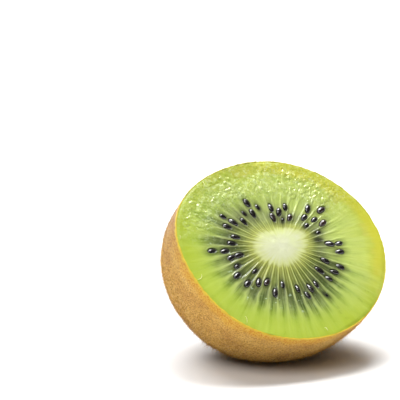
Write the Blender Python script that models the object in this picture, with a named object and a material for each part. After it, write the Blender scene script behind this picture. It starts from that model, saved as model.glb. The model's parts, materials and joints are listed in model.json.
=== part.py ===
"""One half of a kiwi fruit, cut across, resting on a small flat spot of its skin.

Metres, +Z up. The origin is the middle of the flat spot, on the surface that the half
rests on. The cut looks up and forward, towards -Y.

Two solids make the half: the flesh with its skin side, and the pale core that runs from
the cut almost to the stem end. The pips and the woody ring of the stem end are fused to
the flesh. Both are shaped in the cut's own frame, where X is the long axis of the oval
cut and +Z points out of it, and an empty then places them.
"""

import math
import random

import bmesh
import bpy
from mathutils import Matrix, Vector

MM = 0.001

# How the half lies
TILT = math.radians(48.4)
OVAL_TURN = math.radians(-8.0)
FLAT_DEPTH = 1.0 * MM

# Outline and depth of the half
FACE_LONG = 27.0 * MM
FACE_SHORT = 24.2 * MM
HALF_DEPTH = 30.2 * MM
ROUNDNESS = 2.5
# Waves around the outline: how many, their size as a share of the radius, their turn
RIM_WAVES = ((3, 0.0128, 101.0), (4, 0.0068, 259.0), (5, 0.0049, 79.0))
SKIN_WAVES = ((2, 0.006, 35.0), (3, 0.005, 200.0))

# The core
CORE_LONG = 7.6 * MM
CORE_SHORT = 5.5 * MM
CORE_CENTRE = Vector((-0.6 * MM, 0.4 * MM))
CORE_WAVES = ((3, 0.07, 125.0), (4, 0.03, 123.0))
CORE_DEPTH = 24.5 * MM
CORE_TAPER = 0.62
CORE_DOME = 0.35 * MM
CORE_GAP = 0.32 * MM
LIP_DROP = 0.15 * MM

# Relief of the cut; a share runs from 0 at the core to 1 at the outline
LOCULES = 40
LOCULE_STRETCH = 0.065
LOCULE_SHIFT = 0.03
LOCULE_DEPTH = 0.3 * MM
LOCULE_RISE = (0.03, 0.17)
LOCULE_FALL = (0.42, 0.72)
FLESH_SWELL = 0.3 * MM
SWELL_REACH = (0.4, 0.75)
LIP_SHARE = 0.035
RIM_DROP = 0.55 * MM
RIM_SHARE = 0.885
RIM_ROUNDING = 1.6

# Pips
PIP_SEED = 89463
PIP_RING = 0.30
PIP_RING_SWING = 0.06
PIP_RING_TURN = math.radians(240.0)
PIP_COUNTS = (0, 1, 1, 1, 2)
PIP_INNER_SPREAD = (-0.12, 0.11)
PIP_OUTER_STEP = (0.12, 0.20)
PIP_TURN_SPREAD = 0.03
PIP_TWIST = 0.25
PIP_CLEARANCE = 2.0 * MM
PIP_SIZES = (0.9, 1.08)
PIP_LENGTH = 2.4 * MM
PIP_WIDTH = 1.35 * MM
PIP_THICKNESS = 1.15 * MM
PIP_RISE = 0.12 * MM
PIP_SINK = 0.6
GRAIN_BLUNTNESS = 0.5
GRAIN_SIDES = 6
GRAIN_RINGS = 4

# Stem end
STEM_RING = 4.7 * MM
STEM_COLLAR = 0.7 * MM
STEM_COLLAR_WIDTH = 1.5 * MM
STEM_DIMPLE = 0.9 * MM
STEM_DIMPLE_REACH = 0.75 * STEM_RING
STEM_LUMPS = 8
LUMP_LENGTH = 4.4 * MM
LUMP_WIDTH = 2.5 * MM
LUMP_THICKNESS = 1.6 * MM
LUMP_SIZES = (0.85, 1.1)
LUMP_TURN_SPREAD = 0.15
STEM_SEED = 5

# Mesh steps
STEPS_PER_LOCULE = 3
FACE_STEPS = LOCULES * STEPS_PER_LOCULE
SIDE_STEPS = FACE_STEPS // 2
FACE_SHARES = (0.0, LIP_SHARE, 0.09, 0.16, 0.25, 0.35, 0.45, 0.56, 0.68, 0.80, RIM_SHARE, 0.945, 0.98, 1.0)
SKIN_ANGLES = 17
POCKET_RINGS = 8
CORE_TOP_SHARES = (0.3, 0.58, 0.8, 0.94, 1.0)
LOWEST_POINT_GRID = 180
SHARP_ANGLE = math.radians(50.0)

# Material slots of the flesh, and each material's colour and roughness
FLESH_SLOT, SKIN_SLOT = 0, 1
FLESH_FINISH = ((0.45, 0.57, 0.10), 0.35)
SKIN_FINISH = ((0.42, 0.24, 0.09), 0.85)
PIP_FINISH = ((0.02, 0.013, 0.012), 0.3)
CORE_FINISH = ((0.76, 0.80, 0.50), 0.4)
STEM_FINISH = ((0.30, 0.18, 0.09), 0.9)


def smooth_step(low, high, value):
    """Rise from 0 at low to 1 at high, level at both ends."""
    share = min(1.0, max(0.0, (value - low) / (high - low)))
    return share * share * (3.0 - 2.0 * share)


def waves(turn, table):
    """Factor on a radius that makes an outline uneven."""
    return 1.0 + sum(size * math.cos(count * turn - math.radians(phase)) for count, size, phase in table)


def locule_turn(share):
    """Turn around the oval at a share of all the locules, which are wider at the oval's ends."""
    angle = math.tau * share
    return angle + LOCULE_STRETCH * math.sin(2.0 * angle) - LOCULE_SHIFT * math.sin(angle)


def rim_point(turn):
    """Point of the cut's outline."""
    radius = waves(turn, RIM_WAVES)
    return Vector((FACE_LONG * math.cos(turn), FACE_SHORT * math.sin(turn))) * radius


def core_point(turn, grow=0.0):
    """Point of the core's outline at the cut, moved out by grow."""
    radius = waves(turn, CORE_WAVES)
    spoke = Vector((CORE_LONG * math.cos(turn), CORE_SHORT * math.sin(turn))) * radius
    return CORE_CENTRE + spoke + spoke.normalized() * grow


def face_point(turn, share):
    """Point of the cut between the core's pocket, share 0, and the outline, share 1."""
    return core_point(turn, CORE_GAP).lerp(rim_point(turn), share)


def locule_depth(locule_share, share):
    """Sag of the cut between the walls of the locules, deepest where the pips sit."""
    groove = 0.5 - 0.5 * math.cos(math.tau * LOCULES * locule_share)
    reach = smooth_step(*LOCULE_RISE, share) * (1.0 - smooth_step(*LOCULE_FALL, share))
    return LOCULE_DEPTH * groove * reach


def face_height(locule_share, share):
    """Height of the cut's surface over its plane."""
    swell = FLESH_SWELL * smooth_step(*SWELL_REACH, share)
    rim = (RIM_DROP + FLESH_SWELL) * smooth_step(RIM_SHARE, 1.0, share) ** RIM_ROUNDING
    lip = LIP_DROP * (1.0 - smooth_step(0.0, LIP_SHARE, share))
    return swell - rim - lip - locule_depth(locule_share, share)


def skin_profile(angle):
    """Radius share and depth share of the skin, angle 0 at the cut and a right angle at the stem end."""
    across, down = math.cos(angle), math.sin(angle)
    reach = (across ** ROUNDNESS + down ** ROUNDNESS) ** (-1.0 / ROUNDNESS)
    return reach * across, reach * down


def stem_relief(radius):
    """Height of the stem end's collar over the skin, below zero in its dimple."""
    collar = STEM_COLLAR * math.exp(-((radius - STEM_RING) / STEM_COLLAR_WIDTH) ** 2)
    return collar - STEM_DIMPLE * (1.0 - smooth_step(0.0, STEM_DIMPLE_REACH, radius))


def skin_point(turn, angle):
    """Point of the skin, with its low unevenness and the collar and dimple at the stem end."""
    radius_share, depth_share = skin_profile(angle)
    uneven = 1.0 + (waves(turn, SKIN_WAVES) - 1.0) * math.sin(2.0 * angle)
    outline = rim_point(turn) * radius_share * uneven
    return Vector((outline.x, outline.y, -HALF_DEPTH * depth_share - stem_relief(outline.length)))


def placement():
    """Matrix from the cut's frame to the world, with the lowest skin FLAT_DEPTH under the origin."""
    turned = Matrix.Rotation(TILT, 4, "X") @ Matrix.Rotation(OVAL_TURN, 4, "Z")
    steps = [i / LOWEST_POINT_GRID for i in range(LOWEST_POINT_GRID)]
    skin = (turned @ skin_point(math.tau * i, 0.5 * math.pi * j) for i in steps for j in steps)
    lowest = min(skin, key=lambda point: point.z)
    return Matrix.Translation(Vector((0.0, 0.0, -FLAT_DEPTH)) - lowest) @ turned


def add_ring(bm, points):
    """New vertices at the points, in order around a ring."""
    return [bm.verts.new(point) for point in points]


def join_rings(bm, inner, outer, material=0):
    """Quads between two rings with the same number of points."""
    count = len(inner)
    for i in range(count):
        after = (i + 1) % count
        face = bm.faces.new((inner[i], outer[i], outer[after], inner[after]))
        face.material_index = material


def join_half_ring(bm, fine, coarse, material=0):
    """Triangles between a ring and one with half as many points outside it."""
    count = len(coarse)
    for i in range(count):
        after = (i + 1) % count
        left, middle, right = fine[2 * i], fine[2 * i + 1], fine[(2 * i + 2) % len(fine)]
        for corners in ((coarse[i], middle, left), (coarse[i], coarse[after], middle),
                        (coarse[after], right, middle)):
            bm.faces.new(corners).material_index = material


def close_ring(bm, ring, tip, material=0):
    """Fan of triangles from a ring to one point."""
    centre = bm.verts.new(tip)
    for i, vertex in enumerate(ring):
        bm.faces.new((vertex, ring[(i + 1) % len(ring)], centre)).material_index = material


def side_turns():
    """Turns of the points on the coarser rings."""
    return [locule_turn(i / SIDE_STEPS) for i in range(SIDE_STEPS)]


def core_section(turn, down, grow=0.0):
    """Point of the core's side, down from 0 at the cut to 1 at its closed end."""
    narrow = max(0.0, 1.0 - down ** 2.0) ** (0.5 * CORE_TAPER)
    at_cut = core_point(turn, 0.0) - CORE_CENTRE
    spoke = at_cut * narrow
    spoke += at_cut.normalized() * grow * math.sqrt(max(0.0, 1.0 - down ** 4.0))
    depth = LIP_DROP + (CORE_DEPTH + grow - LIP_DROP) * down
    return Vector((CORE_CENTRE.x + spoke.x, CORE_CENTRE.y + spoke.y, -depth))


def pocket_downs():
    """Shares of the core's depth at its rings, closer together near the closed end."""
    return [math.sin(0.5 * math.pi * i / POCKET_RINGS) for i in range(1, POCKET_RINGS)]


def flesh_mesh():
    """Closed mesh of the flesh: the cut, the skin side and the pocket for the core."""
    bm = bmesh.new()
    rings = []
    for share in FACE_SHARES:
        points = []
        for i in range(FACE_STEPS):
            locule_share = i / FACE_STEPS
            spot = face_point(locule_turn(locule_share), share)
            points.append((spot.x, spot.y, face_height(locule_share, share)))
        rings.append(add_ring(bm, points))
    for inner, outer in zip(rings, rings[1:]):
        join_rings(bm, inner, outer, FLESH_SLOT)
    add_skin(bm, rings[-1])
    add_pocket(bm, rings[0])
    bmesh.ops.recalc_face_normals(bm, faces=bm.faces)
    return bm


def add_skin(bm, rim):
    """Skin side, from the rim of the cut to the stem end."""
    turns = side_turns()
    step = 0.5 * math.pi / (SKIN_ANGLES + 1)
    above = None
    for j in range(1, SKIN_ANGLES + 1):
        ring = add_ring(bm, [skin_point(turn, j * step) for turn in turns])
        if above is None:
            join_half_ring(bm, rim, ring, SKIN_SLOT)
        else:
            join_rings(bm, above, ring, SKIN_SLOT)
        above = ring
    close_ring(bm, above, skin_point(0.0, 0.5 * math.pi), SKIN_SLOT)


def add_pocket(bm, lip):
    """Hollow in the flesh that holds the core, with a gap all round it."""
    turns = side_turns()
    above = None
    for down in pocket_downs():
        ring = add_ring(bm, [core_section(turn, down, CORE_GAP) for turn in turns])
        if above is None:
            join_half_ring(bm, lip, ring, FLESH_SLOT)
        else:
            join_rings(bm, above, ring, FLESH_SLOT)
        above = ring
    close_ring(bm, above, (CORE_CENTRE.x, CORE_CENTRE.y, -CORE_DEPTH - CORE_GAP), FLESH_SLOT)


def core_mesh():
    """Closed mesh of the core, slightly domed at the cut and rounded at its closed end."""
    bm = bmesh.new()
    turns = side_turns()
    above = None
    for share in CORE_TOP_SHARES:
        height = CORE_DOME * (1.0 - share ** 2.0) - LIP_DROP * smooth_step(CORE_TOP_SHARES[-2], 1.0, share)
        points = [CORE_CENTRE.lerp(core_point(turn), share) for turn in turns]
        ring = add_ring(bm, [(point.x, point.y, height) for point in points])
        if above is None:
            close_ring(bm, ring, (CORE_CENTRE.x, CORE_CENTRE.y, CORE_DOME))
        else:
            join_rings(bm, above, ring)
        above = ring
    for down in pocket_downs():
        ring = add_ring(bm, [core_section(turn, down) for turn in turns])
        join_rings(bm, above, ring)
        above = ring
    close_ring(bm, above, (CORE_CENTRE.x, CORE_CENTRE.y, -CORE_DEPTH))
    bmesh.ops.recalc_face_normals(bm, faces=bm.faces)
    return bm


def pip_spots():
    """Turn and share of each pip: up to two in a locule, with none crowding another."""
    rng = random.Random(PIP_SEED)
    spots, places = [], []
    for locule in range(LOCULES):
        middle = locule_turn((locule + 0.5) / LOCULES)
        ring = PIP_RING + PIP_RING_SWING * math.cos(middle - PIP_RING_TURN)
        inner = ring + rng.uniform(*PIP_INNER_SPREAD)
        outer = inner + rng.uniform(*PIP_OUTER_STEP)
        count = rng.choice(PIP_COUNTS)
        for share in (inner, outer)[:count]:
            turn = middle + rng.uniform(-PIP_TURN_SPREAD, PIP_TURN_SPREAD)
            place = face_point(turn, share)
            if all((place - other).length > PIP_CLEARANCE for other in places):
                spots.append((turn, share))
                places.append(place)
    return spots


def grain(name, material, length, width, thickness, matrix):
    """Small solid with pointed ends along its own X, placed by a matrix."""
    bm = bmesh.new()
    bmesh.ops.create_uvsphere(bm, u_segments=GRAIN_SIDES, v_segments=GRAIN_RINGS, radius=0.5)
    bmesh.ops.transform(bm, matrix=Matrix.Rotation(math.radians(90.0), 4, "Y"), verts=bm.verts)
    for vertex in bm.verts:
        along, across, up = vertex.co
        blunt = 1.0 + GRAIN_BLUNTNESS * along
        vertex.co = Vector((along * length, across * width * blunt, up * thickness * blunt))
    bmesh.ops.transform(bm, matrix=matrix, verts=bm.verts)
    mesh = bpy.data.meshes.new(name)
    bm.to_mesh(mesh)
    bm.free()
    mesh.materials.append(material)
    return bpy.data.objects.new(name, mesh)


def pip_grains(material):
    """One grain for each pip, its point turned to the core and its upper half above the cut."""
    rng = random.Random(PIP_SEED + 1)
    grains = []
    for number, (turn, share) in enumerate(pip_spots()):
        place = face_point(turn, share)
        spoke = rim_point(turn) - core_point(turn)
        angle = math.atan2(spoke.y, spoke.x) + rng.uniform(-PIP_TWIST, PIP_TWIST)
        size = rng.uniform(*PIP_SIZES)
        height = FLESH_SWELL * smooth_step(*SWELL_REACH, share) - PIP_SINK * LOCULE_DEPTH + PIP_RISE
        matrix = Matrix.Translation((place.x, place.y, height)) @ Matrix.Rotation(angle, 4, "Z")
        grains.append(grain("pip_%02d" % number, material, PIP_LENGTH * size, PIP_WIDTH * size,
                            PIP_THICKNESS * size, matrix))
    return grains


def stem_grains(material):
    """Woody lumps in a ring around the dimple of the stem end."""
    rng = random.Random(STEM_SEED)
    angle = math.acos(STEM_RING / FACE_LONG)
    grains = []
    for number in range(STEM_LUMPS):
        turn = math.tau * (number + rng.uniform(-LUMP_TURN_SPREAD, LUMP_TURN_SPREAD)) / STEM_LUMPS
        place = skin_point(turn, angle)
        size = rng.uniform(*LUMP_SIZES)
        matrix = Matrix.Translation(place) @ Matrix.Rotation(turn + math.radians(90.0), 4, "Z")
        grains.append(grain("lump_%02d" % number, material, LUMP_LENGTH * size, LUMP_WIDTH,
                            LUMP_THICKNESS * size, matrix))
    return grains


def new_material(name, finish):
    """Plain material with one colour and one roughness."""
    color, roughness = finish
    material = bpy.data.materials.new(name)
    material.use_nodes = True
    shader = material.node_tree.nodes["Principled BSDF"]
    shader.inputs["Base Color"].default_value = (*color, 1.0)
    shader.inputs["Roughness"].default_value = roughness
    shader.inputs["Metallic"].default_value = 0.0
    return material


def new_object(name, bm, materials):
    """Object of a mesh in the cut's frame, linked to the scene."""
    mesh = bpy.data.meshes.new(name)
    bm.to_mesh(mesh)
    bm.free()
    for material in materials:
        mesh.materials.append(material)
    obj = bpy.data.objects.new(name, mesh)
    bpy.context.scene.collection.objects.link(obj)
    return obj


def fuse(obj, grains):
    """Join the grains to an object with one union, apply it and remove them."""
    cutters = bpy.data.collections.new("grains")
    bpy.context.scene.collection.children.link(cutters)
    for item in grains:
        cutters.objects.link(item)
    union = obj.modifiers.new("grains", "BOOLEAN")
    union.operation = "UNION"
    union.operand_type = "COLLECTION"
    union.collection = cutters
    union.solver = "EXACT"
    union.material_mode = "TRANSFER"
    depsgraph = bpy.context.evaluated_depsgraph_get()
    fused = bpy.data.meshes.new_from_object(obj.evaluated_get(depsgraph))
    obj.modifiers.clear()
    obj.data = fused
    for item in grains:
        bpy.data.objects.remove(item)
    bpy.data.collections.remove(cutters)


def cut_flat_spot(obj, matrix):
    """Cut the skin level with the surface that the half rests on."""
    to_face = matrix.inverted()
    bm = bmesh.new()
    bm.from_mesh(obj.data)
    bmesh.ops.bisect_plane(
        bm,
        geom=bm.verts[:] + bm.edges[:] + bm.faces[:],
        plane_co=to_face.translation,
        plane_no=to_face.to_3x3() @ Vector((0.0, 0.0, 1.0)),
        clear_inner=True,
    )
    open_edges = [edge for edge in bm.edges if edge.is_boundary]
    filled = bmesh.ops.contextual_create(bm, geom=open_edges)
    for face in filled["faces"]:
        face.material_index = SKIN_SLOT
    bmesh.ops.recalc_face_normals(bm, faces=bm.faces)
    bm.to_mesh(obj.data)
    bm.free()


def finish_shading(obj):
    """Smooth shading, with sharp edges only at the steps between pieces."""
    obj.data.shade_smooth()
    obj.data.set_sharp_from_angle(angle=SHARP_ANGLE)


def build():
    """Make both solids and place them under one empty."""
    for obj in list(bpy.data.objects):
        bpy.data.objects.remove(obj)
    matrix = placement()
    flesh_materials = (new_material("flesh_green", FLESH_FINISH), new_material("skin_brown", SKIN_FINISH))
    flesh = new_object("flesh", flesh_mesh(), flesh_materials)
    pips = pip_grains(new_material("pip_black", PIP_FINISH))
    fuse(flesh, pips + stem_grains(new_material("stem_wood", STEM_FINISH)))
    cut_flat_spot(flesh, matrix)
    core = new_object("core", core_mesh(), (new_material("core_cream", CORE_FINISH),))

    holder = bpy.data.objects.new("fruit_half", None)
    bpy.context.scene.collection.objects.link(holder)
    holder.location = matrix.translation
    holder.rotation_euler = (TILT, 0.0, 0.0)
    for obj in (flesh, core):
        obj.parent = holder
        obj.rotation_euler = (0.0, 0.0, OVAL_TURN)
        finish_shading(obj)


build()
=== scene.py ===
"""Looks of one half of a kiwi fruit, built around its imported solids.

Metres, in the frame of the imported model: +Z up, the cut looking up and towards -Y, and the
origin under the flat spot that the half rests on. Shapes are worked out in the cut's own
frame, where X is the long axis of the oval cut and +Z points out of it. A turn is an angle
around the oval, and a share runs from 0 at the edge of the core to 1 at the rim.
"""

import json
import logging
import math
import random
from dataclasses import dataclass, field
from enum import Enum
from typing import NamedTuple

import bmesh
import bpy
import numpy as np
from mathutils import Matrix, Vector

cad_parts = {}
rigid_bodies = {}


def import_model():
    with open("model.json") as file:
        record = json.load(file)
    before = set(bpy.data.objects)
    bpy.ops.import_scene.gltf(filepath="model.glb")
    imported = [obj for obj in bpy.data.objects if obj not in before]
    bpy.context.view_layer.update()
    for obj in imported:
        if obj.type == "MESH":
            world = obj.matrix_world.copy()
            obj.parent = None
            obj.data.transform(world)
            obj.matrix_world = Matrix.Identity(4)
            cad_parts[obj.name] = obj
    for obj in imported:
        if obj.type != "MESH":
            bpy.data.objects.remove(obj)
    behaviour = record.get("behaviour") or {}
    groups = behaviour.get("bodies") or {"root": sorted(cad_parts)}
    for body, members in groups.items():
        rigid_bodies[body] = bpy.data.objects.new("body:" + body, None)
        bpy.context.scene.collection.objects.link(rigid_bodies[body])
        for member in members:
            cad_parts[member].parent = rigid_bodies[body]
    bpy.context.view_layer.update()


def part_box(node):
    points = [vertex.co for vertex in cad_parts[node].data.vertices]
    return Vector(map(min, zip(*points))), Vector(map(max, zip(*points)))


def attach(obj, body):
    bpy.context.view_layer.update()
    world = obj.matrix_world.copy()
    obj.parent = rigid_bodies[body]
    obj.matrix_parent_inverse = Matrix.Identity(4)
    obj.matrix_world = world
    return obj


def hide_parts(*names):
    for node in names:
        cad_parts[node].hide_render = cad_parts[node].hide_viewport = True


Array = np.ndarray
Material = bpy.types.Material
Node = bpy.types.Node
Object = bpy.types.Object
Socket = bpy.types.NodeSocket
Tree = bpy.types.NodeTree

MM = 0.001
TAU = math.tau
BODY = "root"
LOG = logging.getLogger("kiwi_half")

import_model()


class Slot(Enum):
    """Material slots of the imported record."""

    FLESH = "flesh"
    CORE = "core"
    PIPS = "pips"
    SKIN = "skin"
    FUZZ = "fuzz"
    STEM_END = "stem_end"


class Noise(Enum):
    """Seeds that keep one pattern of unevenness apart from another."""

    SEPTA = 3
    FIBRES = 11
    GRAIN = 17
    SWELL = 23
    SKIN = 31
    EDGE = 37
    CORE = 41
    STEM = 43
    CELLS = 53
    PIPS = 61


class Tint(NamedTuple):
    """Screen colour that is laid over another one, and the largest share of it that shows."""

    color: tuple
    share: float


def srgb(red: float, green: float, blue: float) -> tuple[float, float, float, float]:
    """Linear colour of a screen colour.

    Args:
        red: Red, from 0 to 255.
        green: Green, from 0 to 255.
        blue: Blue, from 0 to 255.

    Returns:
        Red, green, blue and alpha, from 0 to 1.
    """
    def linear(value: float) -> float:
        """Linear share of one channel."""
        share = value / 255.0
        return share / 12.92 if share <= 0.04045 else ((share + 0.055) / 1.055) ** 2.4

    return (linear(red), linear(green), linear(blue), 1.0)


def smooth_step(low: float, high: float, value: Array) -> Array:
    """Rise from 0 at low to 1 at high, level at both ends.

    Args:
        low: Value where the rise starts.
        high: Value where it ends.
        value: Values to look up.

    Returns:
        Shares from 0 to 1.
    """
    share = np.clip((value - low) / (high - low), 0.0, 1.0)
    return share * share * (3.0 - 2.0 * share)


def cell_value(column: Array, row: Array, layer: Array, salt: int) -> Array:
    """Random value of a cell of space, always the same for the same cell.

    Args:
        column: First whole coordinate.
        row: Second whole coordinate.
        layer: Third whole coordinate.
        salt: Number that keeps one set of values apart from another.

    Returns:
        One value from 0 to 1 for each cell.
    """
    mixed = column * 73856093 ^ row * 19349663 ^ layer * 83492791 ^ salt * 2654435761
    mixed = (mixed ^ mixed >> 13) * 1274126177 & 0x7FFFFFFF
    return ((mixed ^ mixed >> 15) & 0xFFFF) / 65535.0


def soft_noise(points: Array, kind: Noise) -> Array:
    """Smooth random values with one cell for each unit of space.

    Args:
        points: Places, one row of three for each.
        kind: Which pattern to read.

    Returns:
        One value from -1 to 1 for each place.
    """
    cell = np.floor(points).astype(np.int64)
    part = points - cell
    part = part * part * (3.0 - 2.0 * part)
    total = np.zeros(len(points))
    for corner in range(8):
        step = np.array([corner & 1, corner >> 1 & 1, corner >> 2 & 1])
        weight = np.where(step == 1, part, 1.0 - part).prod(axis=1)
        total += weight * cell_value(*(cell + step).T, kind.value)
    return 2.0 * total - 1.0


def cell_domes(across: Array, along: Array, period: int, kind: Noise) -> Array:
    """Heights of rounded cells that lie side by side, like the sacs of a juicy surface.

    Args:
        across: Coordinate that runs around and starts again after a period.
        along: Coordinate that runs outward.
        period: How many cells there are on the way around.
        kind: Which pattern to read.

    Returns:
        One height from 0 to 1 for each place.
    """
    margin, least, reach = 0.1, 0.35, 0.72
    column, row = np.floor(across).astype(np.int64), np.floor(along).astype(np.int64)
    nearest, height = np.full(len(across), 9.0), np.zeros(len(across))
    for step in range(9):
        one, two = column + step % 3 - 1, row + step // 3 - 1
        wrapped, still = one % period, np.zeros_like(row)
        drawn = [cell_value(wrapped, two, still, kind.value + salt) for salt in range(3)]
        away = np.hypot(
            one + margin + (1.0 - 2.0 * margin) * drawn[0] - across,
            two + margin + (1.0 - 2.0 * margin) * drawn[1] - along,
        )
        nearer = away < nearest
        nearest = np.where(nearer, away, nearest)
        height = np.where(nearer, least + (1.0 - least) * drawn[2], height)
    return height * (1.0 - np.minimum(nearest / reach, 1.0) ** 2.0)


@dataclass(frozen=True)
class HalfForm:
    """Sizes and formulas of the half in the cut's own frame.

    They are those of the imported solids, so a piece made from them lies where the solid does.
    """

    face_long: float = 27.0 * MM
    face_short: float = 24.2 * MM
    depth: float = 30.2 * MM
    roundness: float = 2.5
    rim_waves: tuple = ((3, 0.0128, 101.0), (4, 0.0068, 259.0), (5, 0.0049, 79.0))
    skin_waves: tuple = ((2, 0.006, 35.0), (3, 0.005, 200.0))
    core_long: float = 7.6 * MM
    core_short: float = 5.5 * MM
    core_centre: tuple = (-0.6 * MM, 0.4 * MM)
    core_waves: tuple = ((3, 0.07, 125.0), (4, 0.03, 123.0))
    core_depth: float = 24.5 * MM
    core_taper: float = 0.62
    core_dome: float = 0.35 * MM
    locules: int = 40
    locule_stretch: float = 0.065
    locule_shift: float = 0.03
    flesh_swell: float = 0.06 * MM
    rim_drop: float = 0.03 * MM
    rim_share: float = 0.95
    stem_ring: float = 4.7 * MM
    stem_collar: float = 0.7 * MM
    stem_collar_width: float = 1.5 * MM
    stem_dimple: float = 0.9 * MM
    skin_thickness: float = 0.24 * MM

    @staticmethod
    def waves(turn: Array, table: tuple) -> Array:
        """Factor on a radius, from rows of how many waves, their size and turn in degrees."""
        swings = (size * np.cos(count * turn - math.radians(phase)) for count, size, phase in table)
        return 1.0 + sum(swings)

    def oval(self, turn: Array, halves: tuple, table: tuple, grow: float) -> Array:
        """Points of an uneven oval around its own middle.

        Args:
            turn: Turns around the oval.
            halves: Half of its long axis and half of its short one.
            table: Its waves, as waves reads them.
            grow: How far outside the oval the points lie.

        Returns:
            X and Y of each point.
        """
        radius = self.waves(turn, table)
        spoke = np.stack([halves[0] * np.cos(turn), halves[1] * np.sin(turn)], -1) * radius[..., None]
        return spoke * (1.0 + grow / np.linalg.norm(spoke, axis=-1, keepdims=True))

    def turn_of(self, around: Array) -> Array:
        """Turns for shares of all the locules, which are wider at the oval's ends."""
        angle = TAU * np.asarray(around, float)
        return angle + self.locule_stretch * np.sin(2.0 * angle) - self.locule_shift * np.sin(angle)

    def rim(self, turn: Array, inset: float = 0.0) -> Array:
        """Points of the cut's outline, moved inwards by an inset."""
        return self.oval(turn, (self.face_long, self.face_short), self.rim_waves, -inset)

    def core_edge(self, turn: Array, grow: float = 0.0) -> Array:
        """Points of the core's outline at the cut, moved outwards."""
        oval = self.oval(turn, (self.core_long, self.core_short), self.core_waves, grow)
        return np.array(self.core_centre) + oval

    def face(self, turn: Array, share: Array) -> Array:
        """Points of the cut between the core and the rim of the flesh."""
        share = np.asarray(share, float)[..., None]
        return (1.0 - share) * self.core_edge(turn) + share * self.rim(turn, self.skin_thickness)

    def core_side(self, turn: Array, down: float, grow: float) -> Array:
        """Points of a ring on the core's side.

        Args:
            turn: Turns around the oval.
            down: Share of the core's depth, 0 at the cut.
            grow: How far outside the core's own side the points lie.

        Returns:
            Points in the cut's frame.
        """
        spoke = self.core_edge(turn) - np.array(self.core_centre)
        narrow = max(0.0, 1.0 - down ** 2.0) ** (0.5 * self.core_taper)
        length = np.linalg.norm(spoke, axis=-1, keepdims=True)
        flat = np.array(self.core_centre) + spoke * (narrow + grow / length)
        return np.concatenate([flat, np.full((len(turn), 1), -self.core_depth * down)], axis=1)

    def stem_relief(self, radius: Array) -> Array:
        """Height of the stem end's collar over the skin, below zero in its dimple."""
        collar = self.stem_collar * np.exp(-(((radius - self.stem_ring) / self.stem_collar_width) ** 2))
        return collar - self.stem_dimple * (1.0 - smooth_step(0.0, 0.75 * self.stem_ring, radius))

    def skin(self, turn: Array, angle: Array, inset: float = 0.0) -> Array:
        """Points of the skin side.

        Args:
            turn: Turns around the oval.
            angle: Angles down the side, 0 at the cut and a right angle at the stem end.
            inset: How far inside the skin's outer face the points lie.

        Returns:
            Points in the cut's frame.
        """
        across, down = np.cos(angle), np.sin(angle)
        reach = (across ** self.roundness + down ** self.roundness) ** (-1.0 / self.roundness)
        uneven = 1.0 + (self.waves(turn, self.skin_waves) - 1.0) * np.sin(2.0 * angle)
        shrink = 1.0 - inset / self.face_long
        flat = self.rim(turn) * (reach * across * uneven * shrink)[..., None]
        relief = self.stem_relief(np.linalg.norm(flat, axis=-1))
        height = -self.depth * reach * down * (1.0 - inset / self.depth) - relief
        return np.concatenate([flat, height[..., None]], axis=-1)


@dataclass
class Placement:
    """How the half lies in the world, with the matrix that takes it there from the cut's frame."""

    form: HalfForm
    tilt: float = math.radians(48.4)
    oval_turn: float = math.radians(-8.0)
    flat_depth: float = 1.0 * MM
    grid: int = 180
    matrix: Matrix = field(init=False)

    def __post_init__(self) -> None:
        """Turn the half and set it down so that the flat spot cuts its lowest part off."""
        turned = Matrix.Rotation(self.tilt, 4, "X") @ Matrix.Rotation(self.oval_turn, 4, "Z")
        steps = np.arange(self.grid) / self.grid
        turn, angle = np.meshgrid(TAU * steps, 0.5 * math.pi * steps)
        skin = self.form.skin(turn.ravel(), angle.ravel()) @ np.array(turned.to_3x3()).T
        lowest = Vector(skin[skin[:, 2].argmin()])
        self.matrix = Matrix.Translation(Vector((0.0, 0.0, -self.flat_depth)) - lowest) @ turned

    def point(self, *place: float) -> Array:
        """World place of one point of the cut's frame."""
        return self.to_world(np.array([place]))[0]

    def above(self, points: Array, level: float) -> Array:
        """World places of points, none of them lower than a level.

        Args:
            points: One row of three for each point of the cut's frame.
            level: The least height over the floor.

        Returns:
            The same rows in the world.
        """
        world = self.to_world(points)
        world[:, 2] = np.maximum(world[:, 2], level)
        return world

    def to_world(self, points: Array) -> Array:
        """World places of points in the cut's frame."""
        matrix = np.array(self.matrix)
        return points @ matrix[:3, :3].T + matrix[:3, 3]


class Ring(NamedTuple):
    """Ring of points in a mesh: its first index, how many there are and its map coordinate."""

    first: int
    count: int
    along: float


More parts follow.
